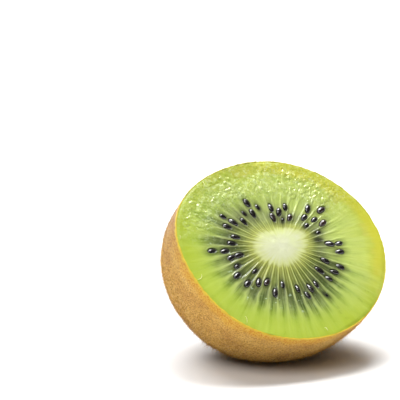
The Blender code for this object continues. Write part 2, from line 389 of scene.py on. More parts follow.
class RingMesh:
    """Mesh made of rings of points around one axis, with a map of around and along at each corner."""

    def __init__(self) -> None:
        """Start with no points."""
        self.points: list[Array] = []
        self.faces: list[Array] = []
        self.maps: list[Array] = []
        self.total = 0
        self.last: Ring | None = None

    def ring(self, points: Array, along: float) -> Ring:
        """Add a ring.

        Args:
            points: Its points, in order around.
            along: Its second map coordinate.

        Returns:
            The ring.
        """
        ring = Ring(self.total, len(points), along)
        self.points.append(points)
        self.total += len(points)
        return ring

    def grow(self, points: Array, along: float, tip: Array | None = None, end: float = 0.0) -> Ring:
        """Add a ring and fill up to the one before it, or up to a tip if it is the first.

        Args:
            points: Its points, in order around.
            along: Its second map coordinate.
            tip: Point that closes the first ring, which stays open without one.
            end: The tip's map coordinate.

        Returns:
            The ring.
        """
        ring = self.ring(points, along)
        if self.last is not None:
            self.join(self.last, ring)
        elif tip is not None:
            self.cap(ring, tip, end)
        self.last = ring
        return ring

    def join(self, inner: Ring, outer: Ring) -> None:
        """Fill between two rings, where one may have half as many points as the other.

        Args:
            inner: A ring.
            outer: The ring after it.
        """
        if inner.count == outer.count:
            step = np.arange(inner.count)
            after = (step + 1) % inner.count
            corners = (inner.first + step, outer.first + step, outer.first + after, inner.first + after)
            self.faces.append(np.stack(corners, 1))
            left, right = step / inner.count, (step + 1) / inner.count
            near, far = inner.along, outer.along
            self.maps.append(self.corner_map((left, near), (left, far), (right, far), (right, near)))
            return
        fine, coarse = (inner, outer) if inner.count > outer.count else (outer, inner)
        step = np.arange(coarse.count)
        after = (step + 1) % coarse.count
        left, middle, right = 2 * step, 2 * step + 1, (2 * step + 2) % fine.count
        low, half, high = step / coarse.count, (step + 0.5) / coarse.count, (step + 1) / coarse.count
        base, tooth = coarse.first, fine.first
        near, far = fine.along, coarse.along
        corners = (
            (base + step, tooth + middle, tooth + left, (low, far), (half, near), (low, near)),
            (base + step, base + after, tooth + middle, (low, far), (high, far), (half, near)),
            (base + after, tooth + right, tooth + middle, (high, far), (high, near), (half, near)),
        )
        for one, two, three, *places in corners:
            self.faces.append(np.stack([one, two, three], 1))
            self.maps.append(self.corner_map(*places))

    def cap(self, ring: Ring, tip: Array, along: float) -> None:
        """Close a ring with a fan of triangles.

        Args:
            ring: The ring to close.
            tip: The point in its middle.
            along: The tip's map coordinate.
        """
        centre = self.ring(np.array([tip]), along).first
        step = np.arange(ring.count)
        after = (step + 1) % ring.count
        corners = (ring.first + step, ring.first + after, np.full(ring.count, centre))
        self.faces.append(np.stack(corners, 1))
        left, right = step / ring.count, (step + 1) / ring.count
        middle = (left + right) / 2
        self.maps.append(self.corner_map((left, ring.along), (right, ring.along), (middle, along)))

    @staticmethod
    def corner_map(*corners: tuple) -> Array:
        """Map coordinates of faces, from around and along of each of their corners."""
        return np.stack([np.stack(np.broadcast_arrays(*corner), -1) for corner in corners], 1)

    def finish(self, name: str, material: Material, sharp: float = 60.0) -> Object:
        """Make the object.

        Args:
            name: Its name.
            material: Its material.
            sharp: Angle in degrees past which an edge stays sharp.

        Returns:
            The object, linked to the scene, with its faces pointing out.
        """
        mesh = bpy.data.meshes.new(name)
        points = np.concatenate(self.points)
        corners = np.concatenate([faces.ravel() for faces in self.faces])
        sizes = np.concatenate([np.full(len(faces), faces.shape[1]) for faces in self.faces])
        mesh.vertices.add(len(points))
        mesh.vertices.foreach_set("co", points.astype(np.float32).ravel())
        mesh.loops.add(len(corners))
        mesh.loops.foreach_set("vertex_index", corners.astype(np.int32))
        mesh.polygons.add(len(sizes))
        mesh.polygons.foreach_set("loop_start", (np.cumsum(sizes) - sizes).astype(np.int32))
        mesh.update(calc_edges=True)
        chart = mesh.uv_layers.new(name="cut_map")
        flat = np.concatenate([rows.reshape(-1, 2) for rows in self.maps])
        chart.data.foreach_set("uv", flat.astype(np.float32).ravel())
        return finish_object(name, mesh, material, sharp)


def new_object(name: str, data: bpy.types.ID) -> Object:
    """Object that is linked to the scene."""
    made = bpy.data.objects.new(name, data)
    bpy.context.scene.collection.objects.link(made)
    return made


def finish_object(name: str, mesh: bpy.types.Mesh, material: Material, sharp: float) -> Object:
    """Turn a mesh's faces out, shade it and give it to a new object.

    Args:
        name: The object's name.
        mesh: Its mesh.
        material: Its material.
        sharp: Angle in degrees past which an edge stays sharp.

    Returns:
        The object, linked to the scene.
    """
    bm = bmesh.new()
    bm.from_mesh(mesh)
    bmesh.ops.recalc_face_normals(bm, faces=bm.faces)
    bm.to_mesh(mesh)
    bm.free()
    mesh.shade_smooth()
    mesh.set_sharp_from_angle(angle=math.radians(sharp))
    mesh.materials.append(material)
    return new_object(name, mesh)


def hand_over(piece: Object, slot: Slot, *nodes: str) -> Object:
    """Fix a finished piece to the fruit and report it.

    Args:
        piece: The finished object.
        slot: The record's material slot; not used.
        nodes: Solids that it stands for.

    Returns:
        The same piece.
    """
    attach(piece, BODY)
    if nodes:
        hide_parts(*nodes)
    piece.data.calc_loop_triangles()
    LOG.info("%s: %d triangles", piece.name, len(piece.data.loop_triangles))
    return piece


def store(mesh: bpy.types.Mesh, name: str, values: Array) -> None:
    """Keep one number for each point of a mesh.

    Args:
        mesh: The mesh.
        name: The attribute's name.
        values: One number for each point.
    """
    layer = mesh.attributes.new(name, "FLOAT", "POINT")
    layer.data.foreach_set("value", values.astype(np.float32))


class Sheet:
    """Places and links the nodes of one tree."""

    def __init__(self, tree: Tree) -> None:
        """Work on a tree."""
        self.tree = tree

    def add(self, kind: str, feeds: dict | None = None, **settings: object) -> Node:
        """Place a node.

        Args:
            kind: Its type.
            feeds: What goes into its sockets, by name or number: another socket or a value.
            settings: Its own properties.

        Returns:
            The node.
        """
        node = self.tree.nodes.new(kind)
        for name, value in settings.items():
            setattr(node, name, value)
        for name, value in (feeds or {}).items():
            self.feed(node.inputs[name], value)
        return node

    def feed(self, socket: Socket, value: object) -> None:
        """Link a socket to another one, or give it a value.

        Args:
            socket: The input.
            value: An output socket or a plain value.
        """
        if isinstance(value, Socket):
            self.tree.links.new(value, socket)
        else:
            socket.default_value = value

    def fill(self, node: Node, **values: object) -> None:
        """Feed a node's sockets by name, with _ for each space."""
        for name, value in values.items():
            self.feed(node.inputs[name.replace("_", " ")], value)

    def math(self, operation: str, *values: object, clamp: bool = False) -> Socket:
        """Output of a Math node."""
        node = self.add("ShaderNodeMath", dict(enumerate(values)), operation=operation, use_clamp=clamp)
        return node.outputs[0]

    def times(self, product: object, *factors: object) -> Socket:
        """Product of two or more values.

        Args:
            product: First value.
            factors: The others.

        Returns:
            The last node's output.
        """
        for factor in factors:
            product = self.math("MULTIPLY", product, factor)
        return product

    def plus(self, one: object, other: object) -> Socket:
        """Sum of two values."""
        return self.math("ADD", one, other)

    def minus(self, one: object, other: object) -> Socket:
        """Difference of two values."""
        return self.math("SUBTRACT", one, other)

    def span(
        self, value: object, low: float, high: float, start: float = 0.0, end: float = 1.0,
    ) -> Socket:
        """Smooth change from start to end while a value goes from low to high."""
        feeds = {"Value": value, "From Min": low, "From Max": high, "To Min": start, "To Max": end}
        return self.add("ShaderNodeMapRange", feeds, interpolation_type="SMOOTHSTEP").outputs["Result"]

    def mix(self, share: object, under: object, over: object) -> Socket:
        """Mix of two colours, of which the second one shows by a share."""
        return self.add("ShaderNodeMix", {0: share, 6: under, 7: over}, data_type="RGBA").outputs[2]

    def tint(self, mask: object, under: object, tint: Tint) -> Socket:
        """Colour with a tint where a mask says so."""
        return self.mix(self.times(mask, tint.share), under, srgb(*tint.color))

    def ramp(self, value: object, stops: tuple, low: float = 0.0, high: float = 1.0) -> Socket:
        """Colour looked up along a row of stops.

        Args:
            value: Where to look.
            stops: Rows of a place and a screen colour.
            low: Place of the ramp's start.
            high: Place of its end.

        Returns:
            The colour.
        """
        scaled = self.math("DIVIDE", self.minus(value, low), high - low, clamp=True)
        node = self.add("ShaderNodeValToRGB", {"Fac": scaled})
        band = node.color_ramp
        while len(band.elements) < len(stops):
            band.elements.new(0.5)
        for element, (place, color) in zip(band.elements, stops):
            element.position = (place - low) / (high - low)
            element.color = srgb(*color)
        return node.outputs["Color"]

    def noise(self, place: object, scale: float, detail: float = 2.0, roughness: float = 0.5) -> Socket:
        """Smooth random value around one half."""
        feeds = {"Vector": place, "Scale": scale, "Detail": detail, "Roughness": roughness}
        return self.add("ShaderNodeTexNoise", feeds).outputs["Fac"]

    def place(self) -> Socket:
        """Coordinates in the object's own space."""
        return self.add("ShaderNodeTexCoord").outputs["Object"]

    def bump(self, height: object, strength: float, distance: float) -> Socket:
        """Normal of a surface with fine relief."""
        feeds = {"Strength": strength, "Distance": distance, "Height": height}
        return self.add("ShaderNodeBump", feeds).outputs["Normal"]

    def attribute(self, name: str, kind: str = "FLOAT") -> Socket:
        """Value that a geometry carries under a name."""
        node = self.add("GeometryNodeInputNamedAttribute", {"Name": name}, data_type=kind)
        return node.outputs["Attribute"]


def new_group(
    name: str, inputs: tuple, outputs: tuple, family: str = "Shader",
) -> tuple[Tree, Sheet, Node, Node]:
    """Start a node group.

    Args:
        name: Its name.
        inputs: Rows of a socket's name and type.
        outputs: Rows of a socket's name and type.
        family: Shader or Geometry.

    Returns:
        The group, its sheet, its input node and its output node.
    """
    group = bpy.data.node_groups.new(name, family + "NodeTree")
    for title, kind in inputs:
        group.interface.new_socket(title, in_out="INPUT", socket_type="NodeSocket" + kind)
    for title, kind in outputs:
        group.interface.new_socket(title, in_out="OUTPUT", socket_type="NodeSocket" + kind)
    sheet = Sheet(group)
    return group, sheet, sheet.add("NodeGroupInput"), sheet.add("NodeGroupOutput")


@dataclass
class CutChart:
    """Coordinates of the cut as sockets of one tree, with the masks that are made of them."""

    sheet: Sheet
    place: Socket
    around: Socket
    share: Socket
    angle: Socket = field(init=False)
    cosine: Socket = field(init=False)
    sine: Socket = field(init=False)

    def __post_init__(self) -> None:
        """Add the angle around the cut, its cosine and its sine."""
        self.angle = self.sheet.times(self.around, TAU)
        self.cosine = self.sheet.math("COSINE", self.angle)
        self.sine = self.sheet.math("SINE", self.angle)

    def spokes(self, cells: float, length: float, detail: float) -> Socket:
        """Noise drawn out along the spokes, which meets itself after one way around.

        Args:
            cells: Cells for each radian.
            length: Cells from the core to the rim.
            detail: How many finer layers are added.

        Returns:
            The noise, around one half.
        """
        place = self.sheet.add("ShaderNodeCombineXYZ", {
            0: self.sheet.times(self.cosine, cells),
            1: self.sheet.times(self.sine, cells),
            2: self.sheet.times(self.share, length),
        })
        return self.sheet.noise(place.outputs[0], 1.0, detail)

    def sway(self, cells: float, length: float, detail: float, size: object) -> Socket:
        """The same noise around zero, of a given size."""
        return self.sheet.times(self.sheet.minus(self.spokes(cells, length, detail), 0.5), size)

    def toward(self, turn: float) -> Socket:
        """Cosine of the angle to a turn, 1 on that side of the cut."""
        return self.sheet.math("COSINE", self.sheet.minus(self.angle, turn))

    def side(self, turn: float, low: float, high: float) -> Socket:
        """Mask of the side around a turn, between the cosines where it starts and is full."""
        return self.sheet.span(self.toward(turn), low, high)


@dataclass(frozen=True)
class CutPattern:
    """Colours and fine relief that the flesh and the core share, so that they run into each other.

    A zone gives where a smooth change starts and ends, in shares or in values of a noise. Its results
    before and after follow where they aren't 0 and 1. A grain gives the cells of a noise on the place,
    and a spoke noise its cells, its length and its detail.
    """

    locules: int
    start: float = -0.36
    ring_swing: float = 0.18
    ring_turn: float = math.radians(236.0)
    core_wave: float = 0.035
    core_turn: float = math.radians(45.0)
    painted_light_turn: float = math.radians(45.0)
    rough_turn: float = math.radians(102.0)
    bright_turn: float = math.radians(72.0)
    own_reach: float = 0.16
    drawn: tuple = (24.0, 2.0, 2.0, 0.14)
    frayed: tuple = (9.0, 1.0, 3.0, 0.2)
    bent: tuple = (3.4, 6.0, 1.0)
    strands: tuple = (44.0, 2.0, 2.0)
    fibres: tuple = (30.0, 2.0, 2.0)
    bend_zone: tuple = (0.1, 0.6, 0.15, 0.5)
    moving_zone: tuple = (0.02, 0.3)
    opening: tuple = (-0.04, 0.1, 0.25, 0.42)
    closing: tuple = (0.3, 0.78, 1.0, 0.2)
    crisp_edge: tuple = (-0.05, 0.09)
    soft_edge: tuple = (-0.3, 0.22)
    soft_zone: tuple = (0.22, 0.38)
    strand_zone: tuple = (0.2, 0.5, 0.08, 0.42)
    faded_zone: tuple = (0.2, 0.36, 0.42, 0.6)
    fibre_zone: tuple = (0.1, 0.5, 0.3, 1.0)
    rough_zone: tuple = (0.35, 0.6)
    veil: Tint = Tint((132, 148, 104), 0.25)
    murk: Tint = Tint((46, 58, 26), 0.35)
    thread: Tint = Tint((206, 212, 140), 0.3)
    pale_fibre: Tint = Tint((206, 218, 140), 0.11)
    deep_fibre: Tint = Tint((124, 154, 50), 0.1)
    cloud: Tint = Tint((200, 216, 122), 0.16)
    # painted light: paler flesh on one side of the cut
    painted_light_side: Tint = Tint((206, 220, 126), 0.22)
    # painted glow: yellow band along the rim on the lit side, where light shines through the edge
    painted_glow_rim: Tint = Tint((188, 184, 42), 0.7)
    low_rim: Tint = Tint((158, 178, 44), 0.55)
    # painted shade: darker band near the rim on the side where the lamps light it most
    far_rim_painted_shade: Tint = Tint((138, 148, 36), 0.3)
    # colour of the pips' dark rims, of the deeper pips seen through the flesh and of the painted shade
    # around the pips
    pip_shade: tuple = (40, 44, 24)
    # painted glints: pale wet highlights beside the lower pips
    painted_glint: Tint = Tint((186, 208, 172), 0.45)
    fleck: Tint = Tint((126, 156, 56), 0.35)
    sac: Tint = Tint((204, 222, 164), 0.33)
    # colour of painted glints in the juicy zone
    speck: Tint = Tint((214, 228, 172), 0.3)
    wisp_grain: float = 900.0
    cloud_grain: float = 170.0
    painted_glint_grain: float = 950.0
    cell_grain: float = 900.0
    fine_grain: float = 2300.0
    dryness: tuple = (0.46, 0.34)
    least_wetness: float = 0.07
    light_stops: tuple = (
        (-0.36, (196, 199, 170)), (-0.14, (194, 198, 160)), (-0.035, (188, 194, 135)),
        (0.015, (166, 172, 92)), (0.06, (161, 168, 88)), (0.12, (151, 161, 88)),
        (0.24, (158, 167, 109)), (0.34, (158, 171, 104)), (0.44, (164, 178, 99)),
        (0.58, (156, 173, 84)), (0.75, (161, 174, 84)), (0.88, (160, 172, 69)),
        (0.955, (147, 160, 53)), (1.0, (155, 156, 55)),
    )
    dark_stops: tuple = (
        (-0.36, (196, 199, 170)), (-0.14, (194, 198, 158)), (-0.035, (185, 190, 129)),
        (0.015, (130, 135, 63)), (0.06, (118, 123, 57)), (0.12, (79, 90, 31)),
        (0.22, (54, 65, 23)), (0.32, (49, 62, 21)), (0.42, (56, 76, 22)),
        (0.52, (72, 96, 25)), (0.64, (122, 145, 58)), (0.78, (146, 164, 71)),
        (0.955, (152, 167, 57)), (1.0, (161, 162, 58)),
    )

    def moved_share(self, chart: CutChart, own: Socket) -> Socket:
        """Share at which the colours are looked up, uneven from locule to locule.

        Args:
            chart: The cut's coordinates.
            own: Random value of each locule.

        Returns:
            The share.
        """
        sheet = chart.sheet
        swing = sheet.times(chart.toward(self.ring_turn), self.ring_swing)
        reach = sheet.times(sheet.minus(own, 0.5), self.own_reach)
        offset = sheet.plus(sheet.plus(swing, reach), chart.sway(*self.drawn))
        outward = sheet.span(chart.share, *self.moving_zone)
        moved = sheet.minus(chart.share, sheet.times(offset, outward))
        twice = sheet.times(sheet.minus(chart.angle, self.core_turn), 2.0)
        corners = sheet.times(sheet.minus(0.6, sheet.math("COSINE", twice)), self.core_wave)
        uneven = sheet.plus(chart.sway(*self.frayed), corners)
        near_core = sheet.span(chart.share, 0.0, 0.25, 1.0, 0.0)
        near_core = sheet.times(near_core, sheet.span(chart.share, -0.3, -0.1))
        return sheet.plus(moved, sheet.times(uneven, near_core))

    def locule_mask(self, chart: CutChart, locule: Socket, moved: Socket) -> Socket:
        """Mask of the dark locules, which end in points towards the rim.

        Args:
            chart: The cut's coordinates.
            locule: Count of locules on the way around.
            moved: Share at which the colours are looked up.

        Returns:
            The mask, 1 in the middle of a locule.
        """
        sheet = chart.sheet
        from_middle = sheet.math("ABSOLUTE", sheet.minus(sheet.math("FRACT", locule), 0.5))
        half = sheet.times(sheet.span(moved, *self.opening), sheet.span(moved, *self.closing))
        inside = sheet.minus(half, from_middle)
        near, far = self.soft_zone
        crisp = sheet.times(sheet.span(inside, *self.crisp_edge), sheet.span(moved, far, near))
        soft = sheet.times(sheet.span(inside, *self.soft_edge), sheet.span(moved, near, far))
        strands = sheet.span(chart.spokes(*self.strands), 0.36, 0.6)
        gaps = sheet.minus(1.0, sheet.times(strands, sheet.span(moved, *self.strand_zone)))
        return sheet.times(sheet.plus(crisp, soft), gaps)

    def locule_color(self, chart: CutChart, locule: Socket, own: Socket, moved: Socket) -> Socket:
        """Colour of the dark locules, of the pale walls between them and of the threads in the walls.

        Args:
            chart: The cut's coordinates.
            locule: Count of locules on the way around.
            own: Random value of each locule.
            moved: Share at which the colours are looked up.

        Returns:
            The colour.
        """
        sheet = chart.sheet
        faded = sheet.times(chart.side(self.bright_turn, -0.3, 0.6), sheet.span(moved, *self.faded_zone))
        strength = sheet.minus(sheet.span(own, 0.0, 1.0, 0.9, 1.0), faded)
        light = sheet.ramp(moved, self.light_stops, self.start)
        dark = sheet.ramp(moved, self.dark_stops, self.start)
        wisps = sheet.noise(chart.place, self.wisp_grain, 3.0, 0.6)
        beyond = sheet.span(moved, 0.04, 0.2)
        dark = sheet.tint(sheet.times(sheet.span(wisps, 0.5, 0.68), beyond), dark, self.veil)
        dark = sheet.tint(sheet.times(sheet.span(wisps, 0.48, 0.34), beyond), dark, self.murk)
        color = sheet.mix(sheet.times(self.locule_mask(chart, locule, moved), strength), light, dark)
        halved = sheet.math("FRACT", sheet.times(locule, 2.0))
        thread = sheet.span(sheet.math("ABSOLUTE", sheet.minus(halved, 0.5)), 0.38, 0.47)
        thread = sheet.times(thread, sheet.span(moved, 0.3, 0.05), sheet.span(moved, -0.08, 0.02))
        return sheet.tint(thread, color, self.thread)

    def side_color(self, chart: CutChart, color: Socket, clouds: Socket, moved: Socket) -> Socket:
        """Lay on the clouds, a painted light with a painted yellow glow at the rim on one side, and the
        yellower colour of the lower side.

        Args:
            chart: The cut's coordinates.
            color: The colour under them.
            clouds: Broad noise.
            moved: Share at which the colours are looked up.

        Returns:
            The colour.
        """
        sheet = chart.sheet
        color = sheet.tint(sheet.span(clouds, 0.5, 0.7), color, self.cloud)
        # painted light: the flesh is made paler on the lit side
        bright = sheet.times(chart.side(self.painted_light_turn, -0.1, 0.8), sheet.span(moved, 0.3, 0.5))
        color = sheet.tint(bright, color, self.painted_light_side)
        uneven = sheet.plus(chart.share, sheet.times(sheet.minus(clouds, 0.5), 0.2))
        # painted glow: a yellow band at the rim on the lit side, where light shines through the edge
        rim = sheet.times(chart.side(self.painted_light_turn, 0.1, 0.8), sheet.span(uneven, 0.74, 0.93))
        color = sheet.tint(rim, color, self.painted_glow_rim)
        low = sheet.times(chart.side(self.ring_turn, -0.3, 0.6), sheet.span(chart.share, 0.55, 0.85))
        return sheet.tint(low, color, self.low_rim)

    def juicy_color(self, chart: CutChart, color: Socket, rough: Socket) -> Socket:
        """Lay on the flecks and pale sacs of the juicy zone.

        Args:
            chart: The cut's coordinates.
            color: The colour under them.
            rough: Mask of the juicy zone.

        Returns:
            The colour.
        """
        sheet = chart.sheet
        cells = sheet.noise(chart.place, self.cell_grain, 2.0, 0.6)
        color = sheet.tint(sheet.times(sheet.span(cells, 0.5, 0.36), rough), color, self.fleck)
        return sheet.tint(sheet.times(sheet.span(cells, 0.52, 0.64), rough), color, self.sac)

    def build(self) -> Tree:
        """Make the node group.

        Returns:
            The group: colour, roughness, wetness and height from the cut's map, the place and the
            shade of the pips.
        """
        inputs = (("Map", "Vector"), ("Place", "Vector"), ("Pip Shade", "Float"))
        outputs = (("Color", "Color"), ("Roughness", "Float"), ("Wetness", "Float"), ("Height", "Float"))
        group, sheet, entry, leave = new_group("cut_pattern", inputs, outputs)
        split = sheet.add("ShaderNodeSeparateXYZ", {0: entry.outputs["Map"]})
        chart = CutChart(sheet, entry.outputs["Place"], split.outputs["X"], split.outputs["Y"])
        bend = chart.sway(*self.bent, sheet.span(chart.share, *self.bend_zone))
        locule = sheet.plus(sheet.times(chart.around, float(self.locules)), bend)
        number = sheet.math("FLOOR", locule)
        own = sheet.add("ShaderNodeTexWhiteNoise", {"W": number}, noise_dimensions="1D").outputs["Value"]
        moved = self.moved_share(chart, own)
        color = self.locule_color(chart, locule, own, moved)

        fibres = chart.spokes(*self.fibres)
        outer = sheet.span(chart.share, *self.fibre_zone)
        color = sheet.tint(sheet.times(sheet.span(fibres, 0.5, 0.72), outer), color, self.pale_fibre)
        color = sheet.tint(sheet.times(sheet.span(fibres, 0.5, 0.3), outer), color, self.deep_fibre)
        clouds = sheet.noise(chart.place, self.cloud_grain, 3.0)
        color = self.side_color(chart, color, clouds, moved)
        # the pips' dark rims, the deeper pips seen through the flesh and painted shade around the pips
        color = sheet.mix(entry.outputs["Pip Shade"], color, srgb(*self.pip_shade))

        near_pip = sheet.times(sheet.span(moved, 0.14, 0.24), sheet.span(moved, 0.52, 0.4))
        near_pip = sheet.times(near_pip, chart.side(self.ring_turn, 0.1, 0.7))
        # painted glints: pale spots near the lower pips stand in for wet highlights
        glint_spots = sheet.span(sheet.noise(chart.place, self.painted_glint_grain, 1.0), 0.66, 0.72)
        color = sheet.tint(sheet.times(glint_spots, near_pip), color, self.painted_glint)

        rough = chart.side(self.rough_turn, 0.1, 0.7)
        rough = sheet.times(rough, sheet.span(chart.share, *self.rough_zone))
        color = self.juicy_color(chart, color, rough)
        grain = sheet.noise(chart.place, self.fine_grain, 2.0, 0.6)
        rough = sheet.times(rough, sheet.span(clouds, 0.3, 0.5, 0.3, 1.0))
        # painted glints: pale specks in the juicy zone stand in for wet highlights
        color = sheet.tint(sheet.times(sheet.span(grain, 0.54, 0.68), rough), color, self.speck)
        # painted shade: the rim on the rough side is darkened against the light that falls there
        far = sheet.times(chart.side(self.rough_turn, -0.2, 0.6), sheet.span(chart.share, 0.8, 0.95))
        color = sheet.tint(far, color, self.far_rim_painted_shade)

        height = sheet.times(grain, sheet.plus(sheet.times(rough, 0.9), 0.1))
        height = sheet.plus(height, sheet.times(fibres, outer, 0.12))
        wetness = sheet.plus(sheet.times(rough, 0.7), sheet.times(near_pip, 0.1))
        wetness = sheet.times(wetness, sheet.span(chart.share, 0.92, 0.97, 1.0, 0.05))
        wetness = sheet.math("ADD", wetness, self.least_wetness, clamp=True)
        roughness = sheet.span(grain, 0.3, 0.7, *self.dryness)
        sheet.fill(leave, Color=color, Roughness=roughness, Wetness=wetness, Height=height)
        return group


def new_material(name: str) -> tuple[Material, Sheet, Node]:
    """Start a material with one Principled shader.

    Args:
        name: Its name.

    Returns:
        The material, its sheet and its shader.
    """
    material = bpy.data.materials.new(name)
    material.use_nodes = True
    return material, Sheet(material.node_tree), material.node_tree.nodes["Principled BSDF"]


@dataclass(frozen=True)
class WetFlesh:
    """Moist, slightly translucent finish of the cut."""

    name: str
    pattern: Tree
    scatter: float = 0.1
    scatter_depth: float = 0.4 * MM
    bump: float = 0.14 * MM

    def build(self) -> Material:
        """Make the material.

        Returns:
            The material.
        """
        material, sheet, shader = new_material(self.name)
        chart = sheet.add("ShaderNodeUVMap", uv_map="cut_map")
        shade = sheet.add("ShaderNodeAttribute", attribute_name="pip_shade")
        feeds = {"Map": chart.outputs["UV"], "Place": sheet.place(), "Pip Shade": shade.outputs["Fac"]}
        look = sheet.add("ShaderNodeGroup", feeds, node_tree=self.pattern).outputs
        sheet.fill(
            shader, Base_Color=look["Color"], Roughness=look["Roughness"], Coat_Weight=look["Wetness"],
            Normal=sheet.bump(look["Height"], 1.0, self.bump), Coat_Roughness=0.2, Coat_IOR=1.7,
            Subsurface_Weight=self.scatter, Subsurface_Scale=self.scatter_depth,
            Subsurface_Radius=(1.0, 1.0, 0.35), Specular_IOR_Level=0.2,
        )
        return material


@dataclass(frozen=True)
class PipShell:
    """Glossy brown-black seed coat."""

    name: str = "pip_shell"
    stops: tuple = ((0.0, (14, 11, 10)), (0.75, (22, 16, 15)), (1.0, (48, 30, 24)))
    mottle: Tint = Tint((42, 32, 32), 0.3)
    cells: float = 2600.0
    bump: float = 0.04 * MM

    def build(self) -> Material:
        """Make the material.

        Returns:
            The material.
        """
        material, sheet, shader = new_material(self.name)
        tone = sheet.add("ShaderNodeAttribute", attribute_name="tone")
        mottle = sheet.noise(sheet.place(), self.cells, 2.0)
        color = sheet.ramp(tone.outputs["Fac"], self.stops)
        color = sheet.tint(sheet.span(mottle, 0.45, 0.7), color, self.mottle)
        sheet.fill(
            shader, Base_Color=color, Normal=sheet.bump(mottle, 0.4, self.bump), Roughness=0.35,
            Specular_IOR_Level=0.1, Coat_Weight=1.0, Coat_Roughness=0.11, Coat_IOR=1.68,
        )
        return material


@dataclass(frozen=True)
class SkinZones:
    """Masks of skin and fuzz: more orange just below the cut, and a painted shade that makes them darker on
    top and at the stem end, where the lights from above and behind fall strongest.
    """

    placement: Placement
    reach: float = 4.4 * MM
    cells: float = 260.0
    top: tuple = (23.0 * MM, 38.0 * MM)
    end: tuple = (15.0 * MM, 25.0 * MM)

    def build(self) -> Tree:
        """Make the node group.

        Returns:
            The group: both masks from a place.
        """
        outputs = (("Warm", "Float"), ("Dark", "Float"))
        group, sheet, entry, leave = new_group("skin_zones", (("Place", "Vector"),), outputs)
        place = entry.outputs["Place"]
        matrix = self.placement.matrix
        normal = matrix.to_3x3() @ Vector((0.0, 0.0, 1.0))
        height = sheet.add("ShaderNodeVectorMath", {0: place, 1: tuple(normal)}, operation="DOT_PRODUCT")
        depth = sheet.minus(normal.dot(matrix.translation), height.outputs["Value"])
        uneven = sheet.times(sheet.minus(sheet.noise(place, self.cells, 2.0), 0.5), self.reach)
        warm = sheet.span(sheet.plus(depth, uneven), 0.25 * self.reach, self.reach, 1.0, 0.0)
        level = sheet.add("ShaderNodeSeparateXYZ", {0: place}).outputs["Z"]
        # painted shade: darker on top and towards the stem end, where the lights from above and behind fall
        # strongest
        upper = sheet.span(level, *self.top)
        dark = sheet.math("MAXIMUM", upper, sheet.span(depth, *self.end))
        sheet.fill(leave, Warm=sheet.times(warm, sheet.minus(1.0, upper)), Dark=dark)
        return group


@dataclass(frozen=True)
class Mottling:
    """A warm zone and a painted shade, with fine dark and pale specks, laid over a plain brown."""

    warm: Tint
    # colour of the painted shade on top and at the stem end
    dark: Tint
    cells: float
    speck: Tint
    warm_speck: tuple
    speck_full: float
    pale: Tint
    warm_pale: tuple
    pale_full: float

    def lay(self, sheet: Sheet, zones: Tree, place: Socket, color: Socket) -> Socket:
        """Lay the zones and specks on.

        Args:
            sheet: The sheet to work on.
            zones: The group with the masks of the zones.
            place: Where each point is.
            color: The brown under them.

        Returns:
            The colour.
        """
        masks = sheet.add("ShaderNodeGroup", {"Place": place}, node_tree=zones).outputs
        color = sheet.tint(masks["Warm"], color, self.warm)
        # painted shade on top and towards the stem end
        color = sheet.tint(masks["Dark"], color, self.dark)
        grit = sheet.noise(place, self.cells, 2.0)
        speck = sheet.mix(masks["Warm"], srgb(*self.speck.color), srgb(*self.warm_speck))
        color = sheet.mix(sheet.span(grit, 0.5, self.speck_full, 0.0, self.speck.share), color, speck)
        pale = sheet.mix(masks["Warm"], srgb(*self.pale.color), srgb(*self.warm_pale))
        return sheet.mix(sheet.span(grit, 0.47, self.pale_full, 0.0, self.pale.share), color, pale)


@dataclass(frozen=True)
class DrySkin:
    """Dull brown skin with darker pores, orange towards the cut and yellow on its cut edge."""

    zones: Tree
    name: str = "dry_skin"
    stops: tuple = ((0.3, (176, 127, 56)), (0.5, (200, 155, 73)), (0.7, (216, 175, 90)))
    mottling: Mottling = Mottling(
        # dark is the colour of the painted shade on top and at the stem end
        warm=Tint((204, 160, 48), 0.8), dark=Tint((118, 78, 42), 0.65), cells=2600.0,
        speck=Tint((122, 80, 38), 0.62), warm_speck=(180, 84, 16), speck_full=0.62,
        pale=Tint((216, 176, 98), 0.4), warm_pale=(216, 176, 98), pale_full=0.36,
    )
    low_lip: tuple = (204, 176, 50)
    upper_lip: tuple = (186, 184, 76)
    upper_turn: float = math.radians(65.0)
    lip_edge: tuple = (0.03, 0.012, 0.0, 0.9)
    tear: float = 0.06
    bump: float = 0.25 * MM

    def build(self) -> Material:
        """Make the material.

        Returns:
            The material.
        """
        material, sheet, shader = new_material(self.name)
        place = sheet.place()
        chart = sheet.add("ShaderNodeUVMap", uv_map="cut_map")
        split = sheet.add("ShaderNodeSeparateXYZ", {0: chart.outputs["UV"]})
        color = sheet.ramp(sheet.noise(place, 150.0, 3.0), self.stops)
        color = self.mottling.lay(sheet, self.zones, place, color)
        angle = sheet.times(split.outputs["X"], TAU)
        upper = sheet.span(sheet.math("COSINE", sheet.minus(angle, self.upper_turn)), -0.35, 0.35)
        lip = sheet.mix(upper, srgb(*self.low_lip), srgb(*self.upper_lip))
        torn = sheet.times(sheet.minus(sheet.noise(place, 1100.0, 2.0), 0.5), self.tear)
        edge = sheet.plus(split.outputs["Y"], torn)
        color = sheet.mix(sheet.span(edge, *self.lip_edge), color, lip)
        fine = sheet.noise(place, 1500.0, 3.0, 0.65)
        sheet.fill(
            shader, Base_Color=color, Normal=sheet.bump(fine, 0.7, self.bump), Roughness=0.85,
            Specular_IOR_Level=0.25, Sheen_Weight=0.15, Sheen_Roughness=0.4,
        )
        return material


